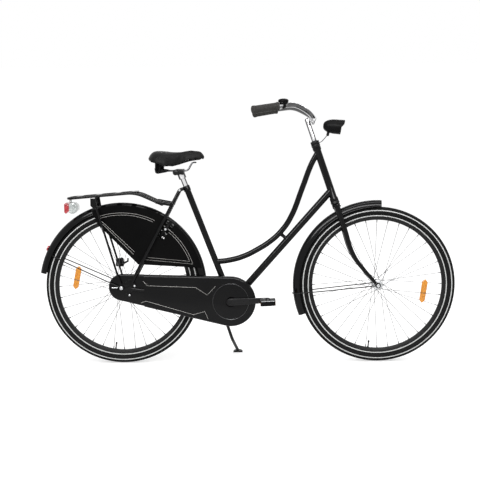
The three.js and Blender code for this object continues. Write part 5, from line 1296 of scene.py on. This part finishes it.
def lamp_frame():
    """The headlamp's own axis, down the road, above and a little behind its pivot."""
    ahead, up = LAMP_PIVOT
    tilt = math.radians(LAMP_TILT)
    line = HEAD_AHEAD * math.cos(tilt) - HEAD_LINE * math.sin(tilt)
    above = HEAD_AHEAD * math.sin(tilt) + HEAD_LINE * math.cos(tilt)
    foot = on_head(ahead - KNUCKLE_RADIUS, up + LAMP_RISE)
    return Matrix.Translation(foot) @ turn_to(line, ACROSS, above)


def lamp_shell():
    """A bowl, open to the front, with a visor that is cut back from below."""
    length, radius, visor = LAMP_LENGTH, LAMP_RADIUS, LAMP_VISOR
    tip = length + visor
    outer = [(radius * out, length * along) for out, along in LAMP_SHARES]
    outer += [(radius, length * 0.9), (radius + 0.0006, length * 0.905), (radius + 0.0006, tip)]
    inner = [(out - LAMP_WALL, along) for out, along in reversed(outer[2:])]
    shell = turned(Vector(), FORWARD, outer + inner + [(0, length * 0.12)], 64)
    reach = radius * 2
    line = [
        (length - visor * 0.2, -reach), (tip + reach, -reach), (tip + reach, radius + 0.003),
        (tip, radius + 0.003), (length + visor * 0.93, radius * 0.74),
        (length + visor * 0.75, radius * 0.42), (length + visor * 0.4, radius * 0.18), (length, 0),
    ]
    return placed(cut(shell, plate(line, -reach, reach)), lamp_frame())


def headlamp():
    pivot = on_head(*LAMP_PIVOT)
    objs = [lamp_shell()]
    outline = arc_run(Vector(), KNUCKLE_RADIUS, 180, 360, 12)
    outline += [(0.0195, 0.0153), (KNUCKLE_RADIUS, 0.023)]
    for side in (1, -1):
        near = side * (KNUCKLE_HALF + 0.0003)
        cheek = plate(outline, near, near + side * 0.003, 0.0006)
        turn = turn_to(HEAD_AHEAD, ACROSS, HEAD_LINE)
        objs.append(placed(cheek, Matrix.Translation(pivot) @ turn))
    finished(joined(objs), "headlamp_shell", "headlamp", "black_plastic")
    bolt = pin(pivot, 0.0042, -0.0105, 0.0105, 0.001)
    finished(bolt, "headlamp_bolt", "headlamp", "black_alloy")
    glass = LAMP_RADIUS - LAMP_WALL - 0.0003
    start = LAMP_LENGTH - LAMP_VISOR - 0.005
    rows = [(glass * out, start + up) for out, up in LENS_ROWS]
    lens = placed(turned(Vector(), FORWARD, rows, 64), lamp_frame())
    finished(lens, "headlamp_lens", "headlamp", "clear_lens")


def headlamp_strap():
    """A ring on the head tube, and a bent strip from it to the lamp's knuckle."""
    bottom = HEAD_TUBE_LENGTH + CUP_HEIGHT + 0.0006
    bore, edge, rim_edge, height = 0.013, 0.0195, 0.020, 0.003
    ring = turned(on_head(0, bottom), HEAD_LINE, [
        (bore, 0), (edge, 0), (rim_edge, 0.0005), (rim_edge, height - 0.0005), (edge, height),
        (bore, height),
    ], ring=True)
    middle = bottom + height / 2
    ahead, up = LAMP_PIVOT
    places = bent([
        on_head(0.0175, middle), on_head(ahead * 0.45, middle),
        on_head(ahead - 0.013, up - 0.0075), on_head(ahead - 0.0032, up - 0.0016),
    ], 0.016, steps=8)
    upper, lower = [], []
    for i, place in enumerate(places):
        line = places[min(i + 1, len(places) - 1)] - places[max(i - 1, 0)]
        across = Vector((-line.z, 0, line.x)).normalized() * 0.0015
        upper.append(place + across)
        lower.append(place - across)
    outline = [(place.x, place.z) for place in upper + lower[::-1]]
    strap = plate(outline, -0.009, 0.009, 0.0006)
    pivot = on_head(*LAMP_PIVOT)
    for side in (1, -1):
        cut(strap, pin(pivot, 0.0104, side * KNUCKLE_HALF, side * 0.02))
    knuckle = pin(pivot, KNUCKLE_RADIUS, -KNUCKLE_HALF, KNUCKLE_HALF, 0.0006)
    finished(joined([ring, strap, knuckle]), "headlamp_bracket", "steering", "black_alloy")


def bell():
    low, high = span("bell_body")
    centre = Vector(((low.x + high.x) / 2, (low.y + high.y) / 2, high.z))
    dome = turned(centre, Vector((0, 0, 1)), BELL_ROWS, 56)
    clamp = placed(node_copy("bell_body"), TO_BIKE)
    halved(clamp, (0, 0, high.z - BELL_CLAMP_DROP), (0, 0, 1), clear_outer=True)
    body = joined([dome, bevelled(clamp, 0.0006)])
    finished(body, "bell_body", "handlebars", "black_plastic")
    polished("bell_lever", "bell_lever", "black_plastic", 0.0014, segments=3)


# Wire stays of the fenders

def wire_stay(name, centre, body, angle, eye_side, outside):
    """A wire from eye to eye, over the fender outside it or close under it."""
    rows = [(0.0068, eye_side + 0.0015), (STAY_KINK, 0.047)]
    grow = WIRE_RADIUS + 0.0006 if outside else -FENDER_WALL - WIRE_RADIUS - 0.0015
    if not outside:
        rows.append((FENDER_EDGE - WIRE_RADIUS * 3, FENDER_HALF_WIDTH))
    for i in range(7):
        turn = math.radians(90 - 15 * i)
        radius = FENDER_EDGE + (FENDER_DEPTH + grow) * math.cos(turn)
        rows.append((radius, (FENDER_HALF_WIDTH + grow) * math.sin(turn)))
    left = [polar(centre, radius, angle, side) for radius, side in rows]
    right = [polar(centre, radius, angle, -side) for radius, side in rows[:-1]]
    places = bent(left + right[::-1], 0.012, steps=4)
    objs = [piped(places, WIRE_RADIUS, smooth=False, detail=3)]
    for side in (1, -1):
        rows = [(radius, side * (eye_side + out)) for radius, out in EYE_ROWS]
        objs.append(lathe(centre, rows, 32, ring=True))
    finished(joined(objs), name, body, "black_alloy")


# Carrier and its legs

def carrier_path(half_front, half):
    return [
        Vector((CARRIER_FRONT, half_front, CARRIER_HEIGHT - 0.032)),
        Vector((CARRIER_CREST, half, CARRIER_HEIGHT + 0.024)),
        Vector((-CARRIER_BACK, half, CARRIER_HEIGHT)),
    ]


def carrier_bars(rear, crest):
    """Flat bars across the rails."""
    along = (crest - rear).normalized()
    along.y = 0
    above = Vector((-along.z, 0, along.x))
    objs = []
    for share in CARRIER_BARS:
        place = rear.lerp(crest, share)
        corners = [(-0.013, 0.0022), (0.013, 0.0022), (0.013, RAIL_RADIUS), (-0.013, RAIL_RADIUS)]
        outline = [((place + along * x + above * z).xz) for x, z in corners]
        objs.append(plate(outline, -CARRIER_HALF, CARRIER_HALF, 0.0012))
    return objs


def carrier():
    left = carrier_path(CARRIER_FRONT_HALF, CARRIER_HALF)
    right = carrier_path(-CARRIER_FRONT_HALF, -CARRIER_HALF)[::-1]
    objs = [piped(bent(left + right, 0.04, steps=8), RAIL_RADIUS, smooth=False, detail=6)]
    for half in (CARRIER_INNER_HALF, -CARRIER_INNER_HALF):
        *front_places, rear = carrier_path(half, half)
        rear.x += 0.004
        inner = bent(front_places + [rear], 0.04, steps=8)
        objs.append(piped(inner, INNER_ROD_RADIUS, smooth=False, detail=4))
    front, crest, rear = left
    objs += carrier_bars(rear, crest)
    ends = [Vector((front.x, side * CARRIER_FRONT_HALF, front.z)) for side in (-1, 1)]
    objs.append(rod(*ends, 0.005, 0.001))
    for side in (1, -1):
        foot, top = stay_ends(side)
        on_stay = foot.lerp(top, (front.z - foot.z) / (top.z - foot.z))
        on_stay.y = side * STAY_BOW_SPREAD
        end = Vector((front.x - 0.03, side * (CARRIER_FRONT_HALF + 0.002), front.z + 0.014))
        objs.append(rod(end, on_stay, 0.009, 0.002))
        outside = on_stay.y + side * 0.006
        objs.append(pin(on_stay, 0.0085, outside, outside + side * 0.007, 0.002))
    finished(joined(objs), "carrier", "root", "frame_paint")


def carrier_leg(side, name):
    """A flat-ended rod from the axle to a plate under the rail."""
    inner = side * LEG_SIDE
    outer = inner + side * LEG_THICKNESS
    middle = (inner + outer) / 2
    half, low, high = LEG_PLATE
    objs = [plate([
        (-LEG_BACK - half, high), (-LEG_BACK - half, low + half), (-LEG_BACK, low),
        (-LEG_BACK + half * 1.6, low), (-LEG_BACK + half, high),
    ], inner, outer, 0.001)]
    top = Vector((-LEG_BACK + half, middle, low + half))
    axle = Vector((0, middle, REAR_AXLE.z))
    along = (top - axle).normalized()
    flat_end = axle + along * 0.06
    places = [axle + along * 0.05, flat_end, top]
    objs.append(piped(places, LEG_RADIUS, [0.003, LEG_RADIUS, LEG_RADIUS], smooth=False))
    across = Vector((-along.z, 0, along.x)) * 0.007
    places = [axle + across, axle - across, flat_end - across * 0.6, flat_end + across * 0.6]
    objs.append(plate([place.xz for place in places], inner, outer, 0.001))
    edge = side * 0.0006
    objs.append(lathe(REAR_AXLE, [
        (AXLE_BORE, inner), (0.0115, inner), (0.012, inner + edge), (0.012, outer - edge),
        (0.0115, outer), (AXLE_BORE, outer),
    ], 32, ring=True))
    for x, z in LEG_BOLTS:
        objs.append(pin(Vector((x, 0, z)), 0.0042, outer, outer + side * 0.003, 0.0012))
    if side > 0:
        objs.append(plate(PEG_BLOCK, outer - 0.008, outer + 0.006, 0.002))
        objs.append(plate(PEG_HOOK, outer - 0.005, outer + 0.002, 0.001))
    finished(joined(objs), name, "root", "frame_paint")


# Cranks, pedals and stand

def crank_angle(side):
    return CRANK_ANGLE if side < 0 else CRANK_ANGLE + 180


def crank(side, name):
    inner = side * CRANK_INNER
    outer = inner + side * CRANK_THICKNESS
    outline = arc_run(Vector(), CRANK_WIDE, 100, 260, 20)
    outline += arc_run(Vector((CRANK_LENGTH, 0, 0)), CRANK_NARROW, -80, 80, 16)
    arm = plate(outline, inner, outer, 0.0032, 4)
    cap = lathe(Vector(), [(radius, outer + side * out) for radius, out in CAP_ROWS], 40)
    end = Vector((CRANK_LENGTH, 0, 0))
    spindle = pin(end, SPINDLE_RADIUS, outer - side * 0.006, outer + side * 0.094, 0.0008)
    nut = pin(end, 0.0075, outer - side * 0.001, outer + side * 0.0045, 0.001)
    turn = Matrix.Rotation(math.radians(-crank_angle(side)), 4, "Y")
    obj = placed(joined([arm, cap, spindle, nut]), Matrix.Translation(BRACKET) @ turn)
    finished(obj, name, "cranks", "black_alloy")


def tread(ahead, from_side, to_side):
    """Half of a pedal's rubber: a block with seven ribs above and below."""
    outline = [(TREAD_START, 0), (TREAD_START, 0.0108)]
    for i in range(7):
        x = TREAD_START + 0.0003 + i * TREAD_PITCH
        outline += [(x + step, up) for step, up in TREAD_RIB]
    outline.append((TREAD_END, 0.009))
    outline += [(x, -z) for x, z in reversed(outline[1:])]
    return plate([(ahead * x, z) for x, z in outline], from_side, to_side, 0.0005, 1)


def pedal(side, name):
    """Two ribbed treads between metal end plates, with trims and reflectors."""
    near = side * (CRANK_INNER + 0.023)
    far = near + side * PEDAL_WIDTH
    place = Matrix.Translation(polar(BRACKET, CRANK_LENGTH, crank_angle(side)))
    place = place @ Matrix.Rotation(math.radians(-crank_angle(side)), 4, "Y")
    core = pin(Vector(), 0.0105, near + side * 0.002, far - side * 0.002, 0.002)
    objs = [cut(core, pin(Vector(), PEDAL_BORE, near - side * 0.01, far - side * 0.0028))]
    for end in (near, far - side * SHEET):
        sheet = plate(PEDAL_SHEET, end, end + side * SHEET, 0.0008)
        if end == near:
            cut(sheet, pin(Vector(), PEDAL_BORE, end - side * 0.01, end + side * 0.01))
        objs.append(sheet)
    for ahead in (1, -1):
        objs.append(tread(ahead, near + side * 0.004, far - side * 0.004))
    finished(placed(joined(objs), place), name, name, "black_plastic", smooth=30)

    low, high, half = PEDAL_TRIM
    corners = [(-half, low), (half, low), (half, high), (-half, high)]
    strips = [
        plate(corners, end - side * 0.001, end + side * 0.001, 0.0004)
        for end in (near + side * 0.0005, far - side * 0.0005)
    ]
    finished(placed(joined(strips), place), name + "_trim", name, "steel")
    middle = (near + far) / 2
    low, high, half, width = PEDAL_REFLECTOR
    lamps = []
    for ahead in (1, -1):
        corners = [(low, -half), (high, -half), (high, half), (low, half)]
        corners = [(ahead * x, z) for x, z in corners]
        lamps.append(plate(corners, middle - width, middle + width, 0.0004))
    finished(placed(joined(lamps), place), name + "_reflectors", name, "amber")


def stand():
    pivot = TO_BIKE @ joint_place("stand_fold")
    axis = TO_BIKE.to_3x3() @ joint_axis("stand_fold")
    ground = STAND_OUT * math.tan(math.radians(LEAN))
    foot = Vector((pivot.x + STAND_LEAD, STAND_OUT, ground + 0.007))
    knee = pivot.lerp(foot, STAND_KNEE)
    knee.y = pivot.y + 0.003
    places = bent([pivot, knee, foot], 0.016, steps=6)
    leg = piped(places, STAND_RADIUS, smooth=False, detail=6)
    inner, outer = pivot - axis * STAND_BOSS_HALF, pivot + axis * STAND_BOSS_HALF
    boss = rod(inner, outer, 0.011, 0.0012)
    cut(leg, rod(inner - axis * 0.03, inner, 0.024))
    cut(leg, rod(outer, outer + axis * 0.03, 0.024))
    for part in (leg, boss):
        cut(part, rod(inner - axis * 0.01, outer + axis * 0.01, STAND_BORE))
    shoe = plate(STAND_SHOE, -0.014, 0.014, 0.0015)
    tilt = Matrix.Rotation(math.radians(LEAN), 4, "X")
    placed(shoe, Matrix.Translation((foot.x, foot.y, ground)) @ tilt)
    finished(joined([leg, boss, shoe]), "stand_leg", "stand", "black_alloy")


# Saddle

def saddle_row(share):
    rows = SADDLE_ROWS
    i = 1
    while i < len(rows) - 1 and rows[i][0] < share:
        i += 1
    before, after = rows[i - 1], rows[i]
    mix = (share - before[0]) / (after[0] - before[0])
    return [a + (b - a) * mix for a, b in zip(before, after)]


def swollen(obj):
    """The foam fills the cover: a short cloth run under pressure, held near its start."""
    start = [corner.co.copy() for corner in obj.data.vertices]
    pick(obj)
    cloth = obj.modifiers.new("fill", "CLOTH")
    cloth.settings.use_pressure = True
    cloth.settings.uniform_pressure_force = 4
    cloth.settings.effector_weights.gravity = 0
    cloth.settings.quality = 6
    scene = bpy.context.scene
    for number in range(1, 21):
        scene.frame_set(number)
    bpy.ops.object.modifier_apply(modifier=cloth.name)
    for corner, place in zip(obj.data.vertices, start):
        move = corner.co - place
        if move.length > CUSHION_CAP:
            corner.co = place + move.normalized() * CUSHION_CAP
    scene.frame_set(1)
    return obj


def cushion():
    obj = placed(node_copy("saddle_cushion"), TO_BIKE)
    modified(obj, "REMESH", mode="VOXEL", voxel_size=0.005)
    modified(obj, "DISPLACE", strength=-0.0012, mid_level=0)
    swollen(obj)
    modified(obj, "SMOOTH", factor=0.5, iterations=1)
    modified(obj, "SUBSURF", levels=1)
    cover = finished(obj, "saddle_cushion", "seat", "saddle_cover", smooth=180)
    places = []
    for side, run in ((1, SEAM_STATIONS), (-1, SEAM_STATIONS[::-1])):
        for share in run:
            _, width, base = saddle_row(share)
            level = base * SADDLE_HEIGHT + SEAM_LEVEL
            edge = Vector((SADDLE_LENGTH * share, side * width * SADDLE_HALF, level))
            _, near, normal, _ = cover.closest_point_on_mesh(BIKE @ (SADDLE_BACK + edge))
            places.append(near + normal * 0.0002)
    seam = piped(places, SEAM_RADIUS, closed=True, detail=3)
    finished(seam, "saddle_seam", "seat", "saddle_cover", lean=False)


def saddle_rails():
    level = POST_TOP.z + 0.008
    nose = SADDLE_BACK.x + SADDLE_LENGTH * 0.86
    nose_z = SADDLE_BACK.z + SADDLE_HEIGHT * 0.36
    half = [
        Vector((SADDLE_BACK.x + 0.052, 0.044, level)), Vector((POST_TOP.x - 0.034, 0.021, level)),
        Vector((POST_TOP.x + 0.034, 0.021, level)), Vector((nose - 0.021, 0.0105, nose_z)),
    ]
    other_half = [Vector((place.x, -place.y, place.z)) for place in reversed(half)]
    places = bent(half + [Vector((nose, 0, nose_z))] + other_half, 0.0105)
    finished(piped(places, 0.0035, smooth=False), "saddle_rails", "seat", "dark_steel")


def saddle_frame():
    pan = bevelled(placed(node_copy("saddle_pan"), TO_BIKE), 0.0008)
    objs = [pan, copied(pan, Matrix.Translation((0, 0, PAN_RISE)))]
    for side in (1, -1):
        objs.append(plate(SADDLE_WEDGE, side * 0.034, side * 0.056, 0.003, 3))
    finished(joined(objs), "saddle_pan", "seat", "black_plastic")

    block = bevelled(placed(node_copy("saddle_clamp"), TO_BIKE), 0.0012)
    knob = pin(SADDLE_KNOB, 0.0135, -0.033, 0.033, 0.0025)
    cut(knob, rod(POST_TOP - SEAT_LINE * 0.07, POST_TOP + SEAT_LINE * 0.02, 0.0135))
    finished(joined([block, knob]), "saddle_clamp", "seat", "black_alloy")
    sleeve = turned(POST_TOP - SEAT_LINE * 0.029, SEAT_LINE, SLEEVE_ROWS, ring=True)
    finished(sleeve, "saddle_clamp_sleeve", "seat", "chrome")

    radius, length, edge = POST_RADIUS, POST_LENGTH, 0.0007
    post = turned(POST_TOP - SEAT_LINE * (length + 0.0003), SEAT_LINE, [
        (0, 0), (radius - edge, 0), (radius, 0.0008), (radius, length - 0.0008),
        (radius - edge, length), (0, length),
    ], 64)
    finished(post, "seat_post", "seat", "chrome")


# Small hardware

def hardware():
    lug_top = SEAT_TOP + Vector((-STAY_TOP[0], 0, -STAY_TOP[1]))
    bolts = [pin(lug_top, 0.0058, side * 0.0325, side * 0.0365, 0.0012) for side in (-1, 1)]
    for x, z in CASE_BOLTS:
        hexagon = arc_run(Vector((x, 0, z)), 0.0048, 0, 300, 5)
        bolts.append(plate(hexagon, -0.0655, -0.0615, 0.0006))
    ends = [Vector((-back, -DROPOUT_SPREAD, REAR_AXLE.z)) for back in (0.046, 0.018)]
    bolts.append(rod(*ends, 0.0028, 0.0006))
    finished(joined(bolts), "frame_bolts", "root", "steel")
    crown = on_head(0, -CUP_HEIGHT - 0.012)
    ends = [crown + HEAD_AHEAD * reach for reach in (0.016, 0.0225)]
    finished(rod(*ends, 0.0048, 0.001), "fork_bolt", "steering", "steel")


# What keeps its CAD shape, with its edges rounded: node, body, slot and rounding

def kept_shapes():
    for node, body, slot, rounding in (
        ("front_axle", "steering", "steel", 0.0006),
        ("rear_axle", "root", "steel", 0.0006),
        ("sprocket", "driver", "dark_steel", 0.0),
        ("brake_arm", "root", "black_alloy", 0.0006),
        ("rear_lamp_housing", "root", "lamp_body", 0.004),
        ("rear_lamp_lens", "root", "red_lens", 0.004),
        ("crank_axle", "cranks", "steel", 0.0008),
        ("chainring", "cranks", "dark_steel", 0.0),
        ("chain", "root", "dark_steel", 0.0),
        ("stand_bracket", "root", "black_alloy", 0.0008),
    ):
        polished(node, body, slot, rounding, smooth=42)


# Camera, light and floor

def seen(tree, otherwise, strength):
    """One strength where the camera or a mirror looks, and another for the light it gives."""
    path = added(tree, "LightPath")
    value = path.outputs["Is Camera Ray"]
    for kind in ("Is Glossy Ray", "Is Transmission Ray"):
        most = added(tree, "Math")
        most.operation = "MAXIMUM"
        tree.links.new(value, most.inputs[0])
        tree.links.new(path.outputs[kind], most.inputs[1])
        value = most.outputs[0]
    return between(tree, value, otherwise, strength, (0, 1))


def camera():
    yaw, pitch, roll = (math.radians(angle) for angle in EYE_TURN)
    level = Vector((math.sin(yaw), math.cos(yaw), 0))
    look = level * math.cos(pitch) - Vector((0, 0, math.sin(pitch)))
    right = Vector((math.cos(yaw), -math.sin(yaw), 0))
    up = right.cross(look)
    tilted_right = right * math.cos(roll) + up * math.sin(roll)
    tilted_up = up * math.cos(roll) - right * math.sin(roll)
    data = bpy.data.cameras.new("camera")
    data.sensor_width = 36
    data.lens = EYE_LENS
    obj = bpy.data.objects.new("camera", data)
    obj.matrix_world = Matrix.Translation(EYE) @ turn_to(tilted_right, tilted_up, -look)
    bpy.context.scene.collection.objects.link(obj)
    bpy.context.scene.camera = obj


def lights():
    for name, place, size, power in LIGHTS:
        light = bpy.data.lights.new(name, "AREA")
        light.shape = "RECTANGLE"
        light.size, light.size_y = size
        light.energy = power
        lamp = bpy.data.objects.new(name, light)
        lamp.location = place
        target = Vector((0, 0, 0.6)) - Vector(place)
        lamp.rotation_euler = target.to_track_quat("-Z", "Y").to_euler()
        lamp.visible_diffuse = name != "gloss_box"
        bpy.context.scene.collection.objects.link(lamp)


def studio():
    scene = bpy.context.scene
    scene.view_settings.view_transform = "Standard"
    world = bpy.data.worlds.new("studio")
    scene.world = world
    world.use_nodes = True
    tree = world.node_tree
    background = put(tree.nodes["Background"], Color=(1, 1, 1, 1))
    tree.links.new(seen(tree, 0.62, 1.0), background.inputs["Strength"])

    pick()
    bpy.ops.mesh.primitive_plane_add(size=200)
    floor = bpy.context.object
    floor.name = "floor"
    material, tree, shader = new_finish("pale_floor", (0.93, 0.93, 0.93), 0.9)
    mirrored(shader, 0.0)
    shaded(tree, shader, noise(tree, 0.4), (0.92, 0.92, 0.92), (0.94, 0.94, 0.94))
    put(shader, Emission_Color=(1, 1, 1, 1))
    tree.links.new(seen(tree, 0.0, 0.44), shader.inputs["Emission Strength"])
    floor.data.materials.append(material)


def pair(make, name, ending=""):
    """The right and the left piece of a kind."""
    make(-1, name + "_right" + ending)
    make(1, name + "_left" + ending)


camera()
lights()
studio()
wheel("front", FRONT_AXLE, "front_wheel", *FRONT_HUB)
wheel("rear", REAR_AXLE, "rear_wheel", *REAR_HUB)
fenders()
main_tubes()
seat_tube()
pair(rear_stays, "stays")
fork()
stem()
handlebar()
pair(grip, "grip")
chaincase()
pair(coat_guard, "coat_guard")
pair(guard_lines, "coat_guard", "_lines")
painted_lines("chaincase_lines", CASE_LINES, -CASE_OUTER_SIDE - LINE_RADIUS / 3)
ring_lock()
headset()
headlamp()
headlamp_strap()
bell()
wire_stay("front_fender_stay", FRONT_AXLE, "steering", 185.7, 0.0568, True)
wire_stay("rear_fender_stay", REAR_AXLE, "root", 155.5, 0.0656, False)
carrier()
pair(carrier_leg, "carrier_leg")
pair(crank, "crank")
pair(pedal, "pedal")
stand()
saddle_rails()
saddle_frame()
cushion()
hardware()
kept_shapes()

pick()
